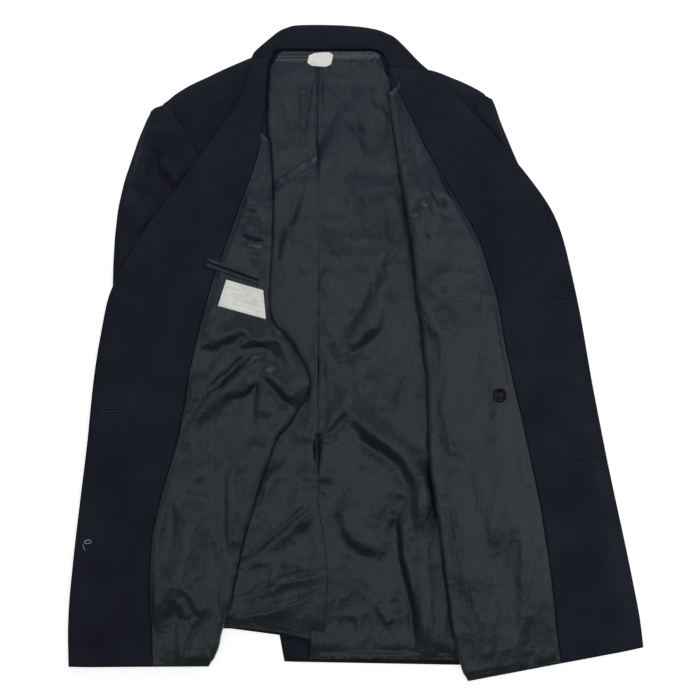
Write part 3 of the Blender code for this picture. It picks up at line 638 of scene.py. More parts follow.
back_linings = {}
for side in (RIGHT, LEFT):
    name = f"back_lining_{SIDE_NAMES[side]}"
    grid = laid_grid(name, LINING_THICK, LINING_STEP)
    if side == RIGHT:
        grid = hung(grid, [(x, y + LINING_SHORT) for x, y in RIGHT_HEM])
    inner = 0 if side == LEFT else -1
    joined = grid[:, inner, 1] > VENT_TOP
    grid[joined, inner, 0] = -CENTRE_SEAM
    if side == LEFT:
        grid[joined, inner] -= SEAM_LAP
    else:
        nearby = np.clip(1 - (grid[:, -1:, 0] - grid[..., 0]) / VENT_DRAWN, 0.0, 1.0)
        grid[..., 0] += VENT_REACH * nearby * ~joined[:, None]
    x, y = grid[..., 0], grid[..., 1]
    relief = BACK_PUFF + fold_relief(x, y, BACK_FOLDS) + crumple(x, y, BACK_CREASES, BACK_SEED)
    rows = np.arange(grid.shape[0])[:, None] * LINING_STEP
    at_neck = NECK_SHARE + (1 - NECK_SHARE) * smooth_step(0.0, NECK_FADE, rows)
    at_hem = smooth_step(0.0, HEM_FADE, rows[::-1])
    groove = 0.05 + 0.25 * smooth_step(0.170, 0.280, y)
    at_seam = 1 - groove * np.exp(-(((x + CENTRE_SEAM) / GROOVE_WIDE) ** 2))
    form = front_form[side]
    fold_out = np.interp(-y, -form["y_fold"][:, 0], form["fold"][:, 0])
    fold_out = np.where(y > form["y_fold"][0, 0], OPEN_NECK, fold_out)
    clear = 1 - smooth_step(*UNDER_FADE, side * x - fold_out)
    grid[..., 2] += lofted(relief) * at_hem * at_neck * at_seam * np.where(side * x > 0, clear, 1.0)
    back_linings[side] = cloth_piece(f"{name}_satin", grid, LINING_THICK, SATIN, name)

# ---------------------------------------------------------------- Fronts
# Each wool front runs in from the armhole and side seam with its face up, turns back on itself and
# lies outwards again, and its lapel is folded under along the roll line.

FRONT_THICK = 1.2 * MM
ROLL_RADIUS = 2.43 * MM
EDGE_FALL = 0.3  # the share of the top run, next to its edge, over which it sinks


def run_height(form, out):
    """Height of the top run's face, which sinks towards the front edge."""
    start = form["edge"] - EDGE_FALL * (form["edge"] - form["seam"])
    edge_top = form["mid_edge"] + ROLL_RADIUS
    return form["top"] + (edge_top - form["top"]) * smooth_step(start, form["edge"], out)


def run_y(form, out):
    """Y along the top run, from the fold to the edge."""
    share = np.clip((out - form["fold"]) / (form["edge"] - form["fold"]), 0.0, 1.0)
    return form["y_fold"] + share * (form["y_edge"] - form["y_fold"])


def arc(centre, middle, radius, turns):
    """Round a fold or an edge: distances out and heights at each angle from straight down."""
    return centre - radius * np.sin(turns), middle - radius * np.cos(turns)


# The shoulder seam from the neck outwards, in millimetres
SHOULDER_SEAM = {
    RIGHT: (
        (105, 363), (128, 361), (138, 357), (149, 352.5), (161, 347.5), (170, 343.5), (180, 338.5),
        (192, 333.5), (203, 328.5), (212, 323.5), (221, 318), (228, 312.5), (236, 306),
    ),
    LEFT: (
        (38, 348), (88, 347), (92, 346.5), (104, 343), (116, 338), (129, 333), (139, 328.5),
        (150, 323), (158, 318), (162, 313),
    ),
}
SEAM_BEND_DEPTH = 85 * MM


def shoulder_bend(side, form, out):
    """How far the rows of the under run bend up towards the shoulder seam."""
    outs, ys = np.array(SHOULDER_SEAM[side]).T * MM
    first = {key: values[0, 0] for key, values in form.items()}
    share = (out - first["fold"]) / (first["side"] - first["fold"])
    straight = first["y_fold"] + (first["y_side"] - first["y_fold"]) * share
    down = first["y_fold"] - form["y_fold"]
    return (np.interp(out, outs, ys) - straight) * (1 - smooth_step(0.0, SEAM_BEND_DEPTH, down))


WOOL_DROP, LAPEL_DROP = 1.6 * MM, 3.25 * MM  # below the facing's face: the wool, and its lapel
WOOL_RISE = 1.5 * MM
UNDER_RUN_HIGH, SHOULDER_HIGH = 5.45 * MM, 2.6 * MM
SHOULDER_SEAT = 12 * MM
LAPEL_SHOWN = 2.5 * MM


def front_wool_grid(side):
    """The whole front: under run, turn-back fold, top run, roll line and lapel."""
    form = front_form[side]
    outer = form["fold"] + (form["top"] - form["low"]) / 2 + 1.0 * MM
    low, high = form["low"] + WOOL_RISE, form["top"] - WOOL_DROP
    shares = np.linspace(1.0, 0.0, 26)[None, :]
    under = outer + (form["side"] - outer) * shares
    under_y = form["y_fold"] + (form["y_side"] - form["y_fold"]) * shares
    under_y = under_y + shoulder_bend(side, form, under)
    seated = 1 - smooth_step(0.0, SHOULDER_SEAT, np.arange(len(low))[:, None] * FRONT_STEP)
    shoulder = SHOULDER_HIGH + 2.4 * MM * smooth_step(0.300, 0.336, under_y)
    plain = UNDER_RUN_HIGH + 3.0 * MM * smooth_step(0.280, 0.330, under_y)
    under_z = plain + (shoulder - plain) * seated
    radius = (high - low) / 2
    turns = np.linspace(0.0, math.pi, 9)[None, 1:-1]
    fold, fold_z = arc(outer, (high + low) / 2, radius, turns)
    end = form["edge"] - ROLL_RADIUS - 1.0 * MM
    over = outer + (end - outer) * np.linspace(0.0, 1.0, 30)[None, :]
    over_z = run_height(form, over) - WOOL_DROP
    edge_z = over_z[:, -1:]
    small = (LAPEL_DROP - WOOL_DROP) / 2
    roll, roll_z = arc(end, edge_z - small, -small, np.linspace(math.pi, 0.0, 6)[None, 1:-1])
    lapel = end - LAPEL_SHOWN * np.array([[0.0, 1.0]])
    lapel_z = np.repeat(edge_z - 2 * small, 2, axis=1)
    out = np.concatenate([under, fold, over, roll, lapel], axis=1)
    z = np.concatenate([under_z, fold_z, over_z, roll_z, lapel_z], axis=1)
    y = np.concatenate([
        under_y, np.repeat(form["y_fold"], fold.shape[1], axis=1),
        run_y(form, over), run_y(form, roll), run_y(form, lapel),
    ], axis=1)
    return np.stack([side * out, y, z], axis=-1)


for side in (RIGHT, LEFT):
    name = f"front_{SIDE_NAMES[side]}"
    piece = cloth_piece(f"{name}_wool", front_wool_grid(side), FRONT_THICK, NAVY_WOOL, name)

# ---------------------------------------------------------------- Front linings
# The same satin, from under the turn-back fold round and out to the facing. It is slack over the
# wool, so it gathers at the fold and lies in creases that run down the front.

FRONT_FOLDS = {
    RIGHT: (
        (3.0, 10, 4, (-176, 13), (-164, 19), (-148, 25), (-138, 30), (-124, 20), (-108, 16)),
        (2.2, 4, 3, (-145, 13), (-108, 14)),
        (3.4, 9, 3.5, (-115, -2), (-136, -18), (-160, -45), (-185, -57)),
        (3.2, 9, 3.5, (-124, -10), (-148, -32), (-173, -51), (-191, -75), (-203, -96)),
        (2.6, 3, 7, (-124, -32), (-136, -45), (-151, -48)),
        (3.0, 8, 4, (-111, -14), (-114, -39), (-115, -57), (-120, -81)),
        (4.2, 10, 4, (-110, -18), (-93, -39), (-81, -50), (-70, -57)),
        (4.0, 12, 10, (-99, 30), (-87, 10), (-77, -10), (-64, -35), (-62, -55)),
        (2.4, 12, 9, (-195, -155), (-201, -204), (-212, -253), (-221, -271), (-234, -302), (-240, -324)),
        (2.2, 6, 4, (-207, -281), (-197, -302), (-185, -320)),
        (2.0, 5, 4, (-216, -298), (-203, -324)),
        (1.6, 3, 3, (-154, -130), (-154, -216)),
        (1.8, 5, 4, (-146, -182), (-152, -207), (-150, -240)),
        (1.6, 5, 3, (-146, 182), (-118, 176)),
        (1.8, 5, 3, (-140, 150), (-112, 140)),
        (1.5, 3, 5, (-134, 128), (-110, 126)),
    ),
    LEFT: (
        (3.0, 4, 9, (67, 160), (73, 162), (79, 168), (82, 177), (88, 182)),
        (2.8, 10, 8, (92, 190), (103, 195), (115, 194)),
        (1.8, 4, 3, (88, 185), (90, 160), (88, 139)),
        (2.0, 8, 6, (85, 78), (92, 50), (103, 16)),
        (2.6, 14, 12, (110, 80), (118, 20), (120, -60), (128, -140)),
        (2.2, 12, 12, (150, 60), (162, -20), (172, -90), (186, -170), (196, -250)),
        (2.4, 10, 8, (118, -150), (132, -220), (146, -290), (160, -360)),
        (1.8, 6, 5, (150, -130), (158, -180), (172, -240)),
    ),
}
FRONT_CREASES = {
    RIGHT: ((44, 80, 3.4), (20, 42, 1.9), (11, 20, 0.75)),
    LEFT: ((40, 130, 3.0), (18, 60, 1.7), (10, 22, 0.7)),
}
FRONT_SEED = 11
FRONT_PUFF = 1.0 * MM
UNDER_LINING = 30 * MM  # how far the lining runs on beneath the fold
POINT_LENGTH = 16 * MM
SEAM_FADE, END_FADE, TOP_FADE = 9 * MM, 12 * MM, 14 * MM


def front_lining_grid(side, lined):
    """From under the fold, round it and over to the facing's seam, with its folds raised."""
    form = {key: values[lined] for key, values in lining_form[side].items()}
    down = form["y_fold"][0] - form["y_fold"]
    pointed = (1 - smooth_step(0.0, POINT_LENGTH, down)) * (form["seam"] - form["fold"])
    form["fold"] = form["fold"] + np.maximum(pointed, 0.0)
    radius = (form["top"] - form["low"]) / 2
    centre = form["fold"] + radius
    under = centre + UNDER_LINING * np.linspace(1.0, 0.0, 5)[None, :]
    turns = np.linspace(0.0, math.pi, 11)[None, 1:-1]
    fold, fold_z = arc(centre, (form["top"] + form["low"]) / 2, radius, turns)
    widest = float((form["seam"] - centre).max())
    end = np.maximum(form["seam"] - 0.4 * MM, centre + 1.0 * MM)
    over = centre + (end - centre) * np.linspace(0.0, 1.0, int(widest / LINING_STEP))[None, :]
    out = np.concatenate([under, fold, over], axis=1)
    z = np.concatenate([np.repeat(form["low"], 5, axis=1), fold_z, run_height(form, over)], axis=1)
    y = run_y(form, out)
    grid = np.stack([side * out, y, z], axis=-1)
    relief = FRONT_PUFF + fold_relief(grid[..., 0], y, FRONT_FOLDS[side])
    relief += crumple(grid[..., 0], y, FRONT_CREASES[side], FRONT_SEED + side)
    first = under.shape[1] + 2
    turned = smooth_step(first, first + fold.shape[1] - 4, np.arange(out.shape[1])[None, :])
    at_seam = smooth_step(0.0, SEAM_FADE, end - out)
    rows = np.arange(out.shape[0])[:, None] * LINING_STEP
    at_hem = smooth_step(0.0, END_FADE, rows[::-1]) * smooth_step(0.0, TOP_FADE, rows)
    relief = lofted(relief) * turned * at_seam * at_hem
    return grid - side * surface_normals(grid) * relief[..., None]


front_linings = {}
for side in (RIGHT, LEFT):
    name = f"front_lining_{SIDE_NAMES[side]}"
    low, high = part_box(name)
    lined = lining_form[side]["y_fold"][:, 0] < high[1] - 1.0 * MM
    grid = front_lining_grid(side, lined)
    front_linings[side] = cloth_piece(f"{name}_satin", grid, LINING_THICK, SATIN, name)

# ---------------------------------------------------------------- Facings
# Wool facings from the lining's seam to the front edge. They carry on as the lapels' faces, turned
# under along the roll line, and lie almost flat with a few broad, shallow swells.

FACING_THICK = 1.1 * MM
FACING_SWELLS = {
    RIGHT: (
        (1.6, 22, 26, (-205, -10), (-222, -60), (-245, -100)),
        (1.2, 26, 22, (-280, 60), (-290, -30), (-300, -140)),
        (1.4, 24, 30, (-300, -200), (-312, -280), (-322, -360)),
        (1.0, 16, 18, (-180, 215), (-205, 160), (-230, 110)),
    ),
    LEFT: (
        (1.2, 24, 24, (150, 245), (190, 180), (220, 110)),
        (1.4, 26, 24, (230, 60), (246, -40), (262, -140)),
        (1.4, 30, 26, (280, -180), (296, -260), (312, -330)),
    ),
}


SWELL_SEED = 5
FACED_LAPEL = 3.0 * MM


def facing_grid(side):
    """From the lining's seam over to the edge, round it and a little way back beneath."""
    form = front_form[side]
    end = form["edge"] - ROLL_RADIUS
    over = form["seam"] + 0.3 * MM + (end - form["seam"]) * np.linspace(0.0, 1.0, 44)[None, :]
    over_z = run_height(form, over)
    x, y = side * over, run_y(form, over)
    swell = fold_relief(x, y, FACING_SWELLS[side])
    swell += 0.5 * MM * lattice_noise(x, y, (0.05, 0.07), SWELL_SEED)
    inside = smooth_step(0.0, 20 * MM, over - form["seam"]) * smooth_step(0.0, 14 * MM, end - over)
    over_z = over_z + np.maximum(swell, 0.0) * inside
    edge_z = over_z[:, -1:] - ROLL_RADIUS
    roll, roll_z = arc(end, edge_z, -ROLL_RADIUS, np.linspace(math.pi, 0.0, 9)[None, 1:-1])
    lapel = end - FACED_LAPEL * np.array([[0.0, 0.5, 1.0]])
    lapel_z = np.repeat(edge_z - ROLL_RADIUS, 3, axis=1)
    out = np.concatenate([over, roll, lapel], axis=1)
    z = np.concatenate([over_z, roll_z, lapel_z], axis=1)
    return np.stack([side * out, run_y(form, out), z], axis=-1)


facings = {}
for side in (RIGHT, LEFT):
    name = f"facing_{SIDE_NAMES[side]}"
    facings[side] = cloth_piece(f"{name}_wool", facing_grid(side), FACING_THICK, NAVY_WOOL, name)

# ---------------------------------------------------------------- Sleeves
# Two-piece wool sleeves set into the armholes. They lie flat as tubes along the fronts, and only
# the shoulder and upper arm show, outside the roll lines, dimpled where they fold at the armhole.

SLEEVE_THICK = 1.4 * MM
SLEEVE_LOW, SLEEVE_HIGH = 7.3 * MM, 9.8 * MM
SLEEVE_TUCK = 4.5 * MM
SLEEVE_STEP = 4 * MM
SLEEVE_PLACES = 60
SLEEVE_SEED = 21
TAIL_MOST, TAIL_SHARE = 11 * MM, 0.3  # how far the sheet runs beneath, and against its width
SLEEVE_FOLDS = {
    RIGHT: (
        (4.4, 7, 4, (-246, 231), (-228, 222), (-214, 203)),
        (3.8, 5, 8, (-259, 252), (-258, 213), (-250, 196)),
        (3.4, 9, 9, (-238, 282), (-240, 262), (-236, 240)),
        (-3.0, 7, 7, (-249, 240), (-244, 215), (-232, 190)),
        (3.6, 8, 6, (-285, 196), (-272, 178), (-262, 150)),
        (3.4, 6, 8, (-292, 140), (-282, 122), (-276, 100)),
        (3.0, 12, 10, (-262, 285), (-276, 240), (-284, 200)),
    ),
    LEFT: (
        (1.8, 5, 4, (158, 300), (160, 284), (166, 268)),
        (1.6, 6, 8, (170, 290), (178, 262), (190, 238)),
    ),
}


def cover_fade(side, out, y):
    """1 where nothing lies over the sleeve, falling to 0 beneath the lapel and facing."""
    form = front_form[side]
    edge = np.interp(-y, -form["y_edge"][:, 0], form["edge"][:, 0])
    return smooth_step(-6 * MM, 8 * MM, out - edge)


def sleeve_grid(side, name):
    """The top sleeve: a sheet across its tube, wrapped a little under at both folds."""
    solid = plain_solid(name)
    low, high = solid[0].min(axis=0), solid[0].max(axis=0)
    count = int((high[1] - low[1]) / SLEEVE_STEP)
    ys = np.linspace(high[1] - 0.2 * MM, low[1] + 1.0 * MM, count)
    ends = np.array([
        (found.min(), found.max()) for found in (side * cut(solid, (0, y), (1, y))[0] for y in ys)
    ])
    for column in range(2):
        ends[3:-3, column] = softened(ends[:, column], 2)[3:-3]
    ys = ys[:, None]
    inner = ends[:, :1] - SLEEVE_TUCK * smooth_step(0.19, 0.22, ys)
    outer = ends[:, 1:]
    radius = (SLEEVE_HIGH - SLEEVE_LOW) / 2
    first, last = inner + radius, outer - radius
    tail = np.minimum(TAIL_MOST, TAIL_SHARE * (last - first)) * np.linspace(1.0, 0.0, 4)[None, :-1]
    turns = np.linspace(0.0, math.pi, 8)[None, 1:-1]
    middle = (SLEEVE_LOW + SLEEVE_HIGH) / 2
    inside, inside_z = arc(first, middle, radius, turns)
    outside, outside_z = arc(last, middle, -radius, turns[:, ::-1])
    across = np.linspace(0.0, 1.0, SLEEVE_PLACES)[None, :]
    over = first + (last - first) * across
    y_over = np.repeat(ys, SLEEVE_PLACES, axis=1)
    relief = 0.8 * MM + fold_relief(side * over, y_over, SLEEVE_FOLDS[side])
    relief += 0.7 * MM * lattice_noise(side * over, y_over, (0.035, 0.06), SLEEVE_SEED)
    at_folds = smooth_step(0.0, 0.12, across) * smooth_step(0.0, 0.12, 1 - across)
    relief = np.maximum(relief, 0.0) * at_folds * cover_fade(side, over, y_over)
    tail_z, flat_z = np.full_like(tail, SLEEVE_LOW), np.full_like(first, SLEEVE_LOW)
    out = np.concatenate(
        [first + tail, first, inside, over, outside, last, last - tail[:, ::-1]], axis=1
    )
    z = np.concatenate([
        tail_z, flat_z, np.broadcast_to(inside_z, inside.shape), SLEEVE_HIGH + relief,
        np.broadcast_to(outside_z, outside.shape), flat_z, tail_z,
    ], axis=1)
    y = np.repeat(ys, out.shape[1], axis=1)
    return np.stack([side * out, y, z], axis=-1)


for side in (RIGHT, LEFT):
    name = f"sleeve_top_{SIDE_NAMES[side]}"
    piece = cloth_piece(f"{name}_wool", sleeve_grid(side, name), SLEEVE_THICK, NAVY_WOOL, name)
    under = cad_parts[f"sleeve_under_{SIDE_NAMES[side]}"]
    under.data.materials.clear()
    under.data.materials.append(NAVY_WOOL)

# ---------------------------------------------------------------- Collar
# One folded band: the stand shows inside the neck, and the fall lies beneath, turned over the
# rounded roll edge. Its ends run down under the tops of the facings.

COLLAR_THICK = 1.8 * MM
COLLAR_STATIONS = (
    # x and y of the roll edge, x and y of the neck seam
    (-132, 354, -108, 353), (-128, 362, -104, 362), (-124, 370, -101, 370), (-109, 383, -95, 374),
    (-93, 396, -86, 374), (-76, 402, -69, 373.5), (-50, 402.5, -48, 373), (-20, 402, -22, 373),
    (8, 400, 6, 373.5), (29, 396, 22, 373.5), (47, 388, 32, 370), (62, 373, 37, 362),
    (76, 358, 40, 354), (92, 344, 43, 345), (97, 338, 44, 338),
)
COLLAR_LOW, COLLAR_HIGH, NECK_HIGH = 1.0 * MM, 8.0 * MM, 6.0 * MM
FALL_END = (-20 * MM, 330 * MM)  # the place that the fall lies towards, half way from the roll edge
COLLAR_SEED = 9
stations = np.array(COLLAR_STATIONS) * MM
at = np.linspace(0, len(stations) - 1, 110)
round_neck = np.stack(
    [np.interp(at, np.arange(len(stations)), stations[:, k]) for k in range(4)], axis=1
)
for column in range(4):
    round_neck[2:-2, column] = softened(round_neck[:, column], 2)[2:-2]
roll, neck = round_neck[:, None, :2], round_neck[:, None, 2:]
inward = (neck - roll) / np.linalg.norm(neck - roll, axis=-1, keepdims=True)
radius = (COLLAR_HIGH - COLLAR_LOW) / 2
top = roll + inward * radius
rise = np.linspace(0.0, 1.0, 14)[None, :, None]
stand = neck + (top - neck) * rise
stand_z = NECK_HIGH + (COLLAR_HIGH - NECK_HIGH) * np.sin(rise * math.pi / 2) ** 0.8
turns = np.linspace(0.0, math.pi, 9)[None, 1:-1, None]
turned = top - inward * radius * np.sin(turns)
turned_z = COLLAR_LOW + radius + radius * np.cos(turns)
fall_end = roll + 0.5 * (np.array(FALL_END) - roll)
fall = top + (fall_end - top) * np.linspace(0.0, 1.0, 6)[None, :, None]
band = np.concatenate([stand, turned, fall], axis=1)
heights = np.concatenate([stand_z, turned_z, np.full((1, 6, 1), COLLAR_LOW)], axis=1)
grid = np.concatenate([band, np.repeat(heights, len(band), axis=0)], axis=-1)
swell = 0.5 * MM * lattice_noise(grid[..., 0], grid[..., 1], (0.03, 0.02), COLLAR_SEED)
grid[:, 2:12, 2] += swell[:, 2:12]
collar = cloth_piece("collar_wool", grid, COLLAR_THICK, NAVY_WOOL, "collar")

# ---------------------------------------------------------------- Inside breast pocket
# A jetted opening across the right lining: two narrow satin rolls with a slit between them, and a
# D-shaped line of tacking at the outer end.


def tree_over(piece):
    """A tree of a cloth piece's middle surface, to lay smaller pieces on."""
    mesh = piece.data
    return BVHTree.FromPolygons(
        [vertex.co for vertex in mesh.vertices], [face.vertices[:] for face in mesh.polygons]
    )


RIGHT_LINING, LEFT_LINING = tree_over(front_linings[RIGHT]), tree_over(front_linings[LEFT])
RIGHT_FACING, LEFT_FACING = tree_over(facings[RIGHT]), tree_over(facings[LEFT])
RIGHT_BACK_LINING, LEFT_BACK_LINING = tree_over(back_linings[RIGHT]), tree_over(back_linings[LEFT])
POCKET_JETS = {
    "pocket_jet_upper": ((-182, 114.4), (-117, 91.6), 1.25),
    "pocket_jet_lower": ((-183, 108.4), (-118, 85.6), 1.0),
}
JET_WIDE = 4.8 * MM
JET_SEED = 31


def patch_between(corners, rows, columns):
    """Places on a four-cornered patch: upper left, upper right, lower right and lower left."""
    upper_left, upper_right, lower_right, lower_left = np.array(corners, float) * MM
    v, u = np.meshgrid(np.linspace(0, 1, rows), np.linspace(0, 1, columns), indexing="ij")
    upper = upper_left + (upper_right - upper_left) * u[..., None]
    lower = lower_left + (lower_right - lower_left) * u[..., None]
    return upper + (lower - upper) * v[..., None], u, v


for name, (start, end, high) in POCKET_JETS.items():
    start, end = np.array(start) * MM, np.array(end) * MM
    along = (end - start) / np.linalg.norm(end - start)
    aside = np.array([-along[1], along[0]]) * JET_WIDE / 2
    u, v = np.meshgrid(np.linspace(0, 1, 60), np.linspace(-1, 1, 11), indexing="ij")
    places = start + (end - start) * u[..., None] + aside * v[..., None]
    z = height_on(RIGHT_LINING, places[..., 0], places[..., 1], 17 * MM)
    z = softened(z, 3) + 0.5 * MM + high * MM * np.sqrt(np.clip(1 - v * v, 0, 1))
    z += 0.15 * MM * lattice_noise(places[..., 0], places[..., 1], (0.008, 0.008), JET_SEED)
    grid = np.concatenate([places, z[..., None]], axis=-1)
    jet = cloth_piece(f"{name}_satin", grid, 0.6 * MM, SATIN, name)


def plain_thread(name, colour, roughness):
    """One plain colour, for threads and for the painted shade in slits and holes."""
    made, shader = new_material(
        name, Metallic=0.0, Specular_IOR_Level=0.3, Roughness=roughness
    )[:2]
    shader.inputs["Base Color"].default_value = (*colour, 1.0)
    return made


LINING_THREAD = plain_thread("lining_thread", (0.022, 0.030, 0.034), 0.6)
NAVY_THREAD = plain_thread("navy_thread", (0.030, 0.034, 0.048), 0.42)
# Near-black painted shade, put where slits and button holes open into shadow.
PAINTED_SLIT_SHADE = plain_thread("painted_slit_shade", (0.0015, 0.0016, 0.0022), 0.9)
PALE_THREAD = plain_thread("pale_thread", (0.42, 0.42, 0.44), 0.7)


def cord(way, radius, twist=0.0, pitch=1.0 * MM, sides=7):
    """Points and faces of a round cord along a way, its radius rippling if it is twisted."""
    way = np.array(way, float)
    gone = np.concatenate([[0.0], np.cumsum(np.linalg.norm(np.diff(way, axis=0), axis=1))])
    heading = np.gradient(way, axis=0)
    heading /= np.maximum(np.linalg.norm(heading, axis=1, keepdims=True), 1e-12)
    aside = np.cross(heading, (0.0, 0.0, 1.0))
    aside /= np.maximum(np.linalg.norm(aside, axis=1, keepdims=True), 1e-12)
    above = np.cross(aside, heading)
    width = radius * (1 + twist * np.sin(gone / pitch * 2 * math.pi))
    width[[0, -1]] *= 0.35
    turns = np.arange(sides) * 2 * math.pi / sides
    ring = aside[:, None] * np.cos(turns)[:, None] + above[:, None] * np.sin(turns)[:, None]
    points = way[:, None] + ring * width[:, None, None]
    index = np.arange(len(way) * sides).reshape(len(way), sides)
    nearer, further = index[:-1], index[1:]
    quads = np.stack(
        [nearer, np.roll(nearer, -1, 1), np.roll(further, -1, 1), further], axis=-1
    ).reshape(-1, 4)
    return points.reshape(-1, 3), quads.tolist() + [index[0][::-1].tolist(), index[-1].tolist()]


def cords_piece(name, cords, material):
    """One piece of many cords."""
    points, faces, count = [], [], 0
    for some, quads in cords:
        faces += [[corner + count for corner in quad] for quad in quads]
        points += some.tolist()
        count += len(some)
    mesh = bpy.data.meshes.new(name)
    mesh.from_pydata(points, [], faces)
    mesh.shade_smooth()
    mesh.materials.append(material)
    piece = bpy.data.objects.new(name, mesh)
    bpy.context.scene.collection.objects.link(piece)
    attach(piece, "root")
    return piece


OFF_SURFACE = 9 * MM  # the height taken where a way leaves its surface


def laid_way(tree, points, lift, count):
    """A smooth way through points in millimetres, lying on a surface at a height over it."""
    points = np.array(points, float) * MM
    at = np.linspace(0, len(points) - 1, count)
    x, y = [np.interp(at, np.arange(len(points)), points[:, k]) for k in range(2)]
    return np.stack([x, y, softened(height_on(tree, x, y, OFF_SURFACE), 1) + lift], axis=1)


def stitches(tree, points, lift, long, gap, radius):
    """Short cords in a line on a surface, each dipping into it at both ends."""
    points = np.array(points, float)
    run = np.concatenate([[0], np.cumsum(np.linalg.norm(np.diff(points, axis=0), axis=1))])
    made = []
    for start in np.arange(0.0, run[-1] - long, long + gap):
        at = np.linspace(start, start + long, 5)
        way = np.stack([np.interp(at, run, points[:, k]) for k in range(2)], axis=1)
        line = laid_way(tree, way, lift, 5)
        line[:, 2] -= radius * np.array([1.6, 0.2, 0.0, 0.2, 1.6])
        made.append(cord(line, radius))
    return made


# The slit is a near-black cord: painted shade in the pocket's opening.
slit = laid_way(RIGHT_LINING, ((-181, 111.2), (-119, 88.8)), 0.9 * MM, 40)
cords_piece("pocket_slit", [cord(slit, 0.75 * MM)], PAINTED_SLIT_SHADE)
TACK = ((-182, 118), (-187, 112), (-189, 103), (-187, 92), (-182, 84), (-177, 79))
cords_piece(
    "pocket_tack", stitches(RIGHT_LINING, TACK, 0.5 * MM, 2.2, 1.0, 0.28 * MM), LINING_THREAD
)

# ---------------------------------------------------------------- Labels
# An off-white woven name label stitched below the pocket, bare but for faint ruled lines, rounding
# down over the turn-back fold, and a small label with cut corners at the neck.


def label_material():
    """Off-white woven tape, a little grubby, with a faint glow of painted light that lifts its white."""
    # The faint emission is painted light: it makes the label glow to lift its white, though it is no
    # lamp.
    made, shader, start = new_material(
        "woven_label", Metallic=0.0, Specular_IOR_Level=0.2, Emission_Strength=0.27,
        Emission_Color=(1.0, 1.0, 0.95, 1.0),
    )
    place = start.node("ShaderNodeTexCoord", output=3)
    weave = start.node(
        "ShaderNodeTexWave", {"bands_direction": "Y"},
        {"Vector": place, "Scale": 520.0, "Distortion": 2.0, "Detail": 1.0}, output=1,
    )
    grubby = start.noise(70.0, 4.0)
    shade = start.ramp(grubby * 0.7 + weave * 0.3, (0.30, 0.0), (0.70, 1.0))
    base = start.blend(shade, (0.50, 0.51, 0.47, 1.0), (0.78, 0.79, 0.74, 1.0))
    wire_to(shader, "Base Color", base)
    wire_to(shader, "Roughness", 0.75 + weave * 0.15)
    wire_to(
        shader, "Normal",
        start.node("ShaderNodeBump", inputs={"Strength": 0.35, "Distance": 0.0002, "Height": weave}),
    )
    return made


LABEL = label_material()
LABEL_THICK = 0.4 * MM
NAME_LABEL_LIFT, NECK_LABEL_LIFT = 0.9 * MM, 1.9 * MM
CORNER_CUT = 0.80
NAME_LABEL = ((-158, 90), (-113, 77), (-110, 42), (-168, 58))
NECK_LABEL = ((-57, 368), (-27, 369), (-31, 350), (-60, 352))
RULED = (
    # place down the label, start and end across it
    (0.24, 0.06, 0.40), (0.42, 0.06, 0.62), (0.44, 0.70, 0.96), (0.60, 0.30, 0.95),
    (0.78, 0.12, 0.90),
)
places, u, v = patch_between(NAME_LABEL, 26, 34)
z = height_on(RIGHT_LINING, places[..., 0], places[..., 1], 12 * MM)
z = softened(np.maximum(z, softened(z, 2)), 2) + NAME_LABEL_LIFT
name_grid = np.concatenate([places, z[..., None]], axis=-1)
name_label = cloth_piece("name_label_woven", name_grid, LABEL_THICK, LABEL, "name_label")
NAME_TREE = tree_over(name_label)


def on_label(corners, across, down):
    """The place at a share across and down a four-cornered label."""
    upper_left, upper_right, lower_right, lower_left = np.array(corners, float)
    upper = upper_left + (upper_right - upper_left) * across
    lower = lower_left + (lower_right - lower_left) * across
    return upper + (lower - upper) * down


border = [on_label(NAME_LABEL, *at) for at in (
    (0.05, 0.07), (0.5, 0.06), (0.96, 0.07), (0.96, 0.93), (0.5, 0.94), (0.05, 0.93), (0.05, 0.07),
)]
GREY_THREAD = plain_thread("grey_thread", (0.30, 0.31, 0.30), 0.8)
cords_piece(
    "name_label_stitches", stitches(NAME_TREE, border, 0.28 * MM, 1.6, 0.8, 0.16 * MM), GREY_THREAD
)
ruled = []
for down, start, end in RULED:
    ends = (on_label(NAME_LABEL, start, down), on_label(NAME_LABEL, end, down))
    ruled.append(cord(laid_way(NAME_TREE, ends, 0.18 * MM, 12), 0.13 * MM))
cords_piece("name_label_ruling", ruled, GREY_THREAD)

places, u, v = patch_between(NECK_LABEL, 16, 20)
centre = places.mean(axis=(0, 1))
corner = np.clip(np.abs(u - 0.5) + np.abs(v - 0.5) - CORNER_CUT, 0.0, 1.0)[..., None]
places = places + (centre - places) * corner * 1.1
z = height_on(RIGHT_BACK_LINING, places[..., 0], places[..., 1], 0.0)
other = height_on(LEFT_BACK_LINING, places[..., 0], places[..., 1], 0.0)
z = softened(np.maximum(z, other), 3) + NECK_LABEL_LIFT
neck_grid = np.concatenate([places, z[..., None]], axis=-1)
neck_label = cloth_piece("neck_label_woven", neck_grid, LABEL_THICK, LABEL, "neck_label")

# ---------------------------------------------------------------- Inside button
# A glossy black four-hole button with a raised rim, sewn on the left lining with crossed thread.

BUTTON_AT = (175 * MM, -51 * MM)
BUTTON_PROFILE = (
    # radius and height in millimetres, from the middle of the face out and round beneath
    (0.0, 1.9), (3.6, 1.9), (4.6, 2.0), (5.6, 2.5), (6.4, 3.1), (7.2, 3.3), (8.0, 3.1), (8.6, 2.5),
    (8.8, 1.8), (8.6, 1.0), (8.0, 0.4), (6.0, 0.0), (0.0, 0.0),
)
BUTTON_TURNS = 72
black, black_shader, start = new_material(
    "black_resin", Metallic=0.0, Specular_IOR_Level=0.15, Coat_Weight=0.05, Coat_Roughness=0.08
)
black_shader.inputs["Base Color"].default_value = (0.004, 0.004, 0.005, 1.0)
wire_to(black_shader, "Roughness", 0.12 + start.noise(300.0, 2.0) * 0.10)
profile = np.array(BUTTON_PROFILE) * MM
fine = np.linspace(0, len(profile) - 1, 61)
radii, heights = [np.interp(fine, np.arange(len(profile)), profile[:, k]) for k in range(2)]
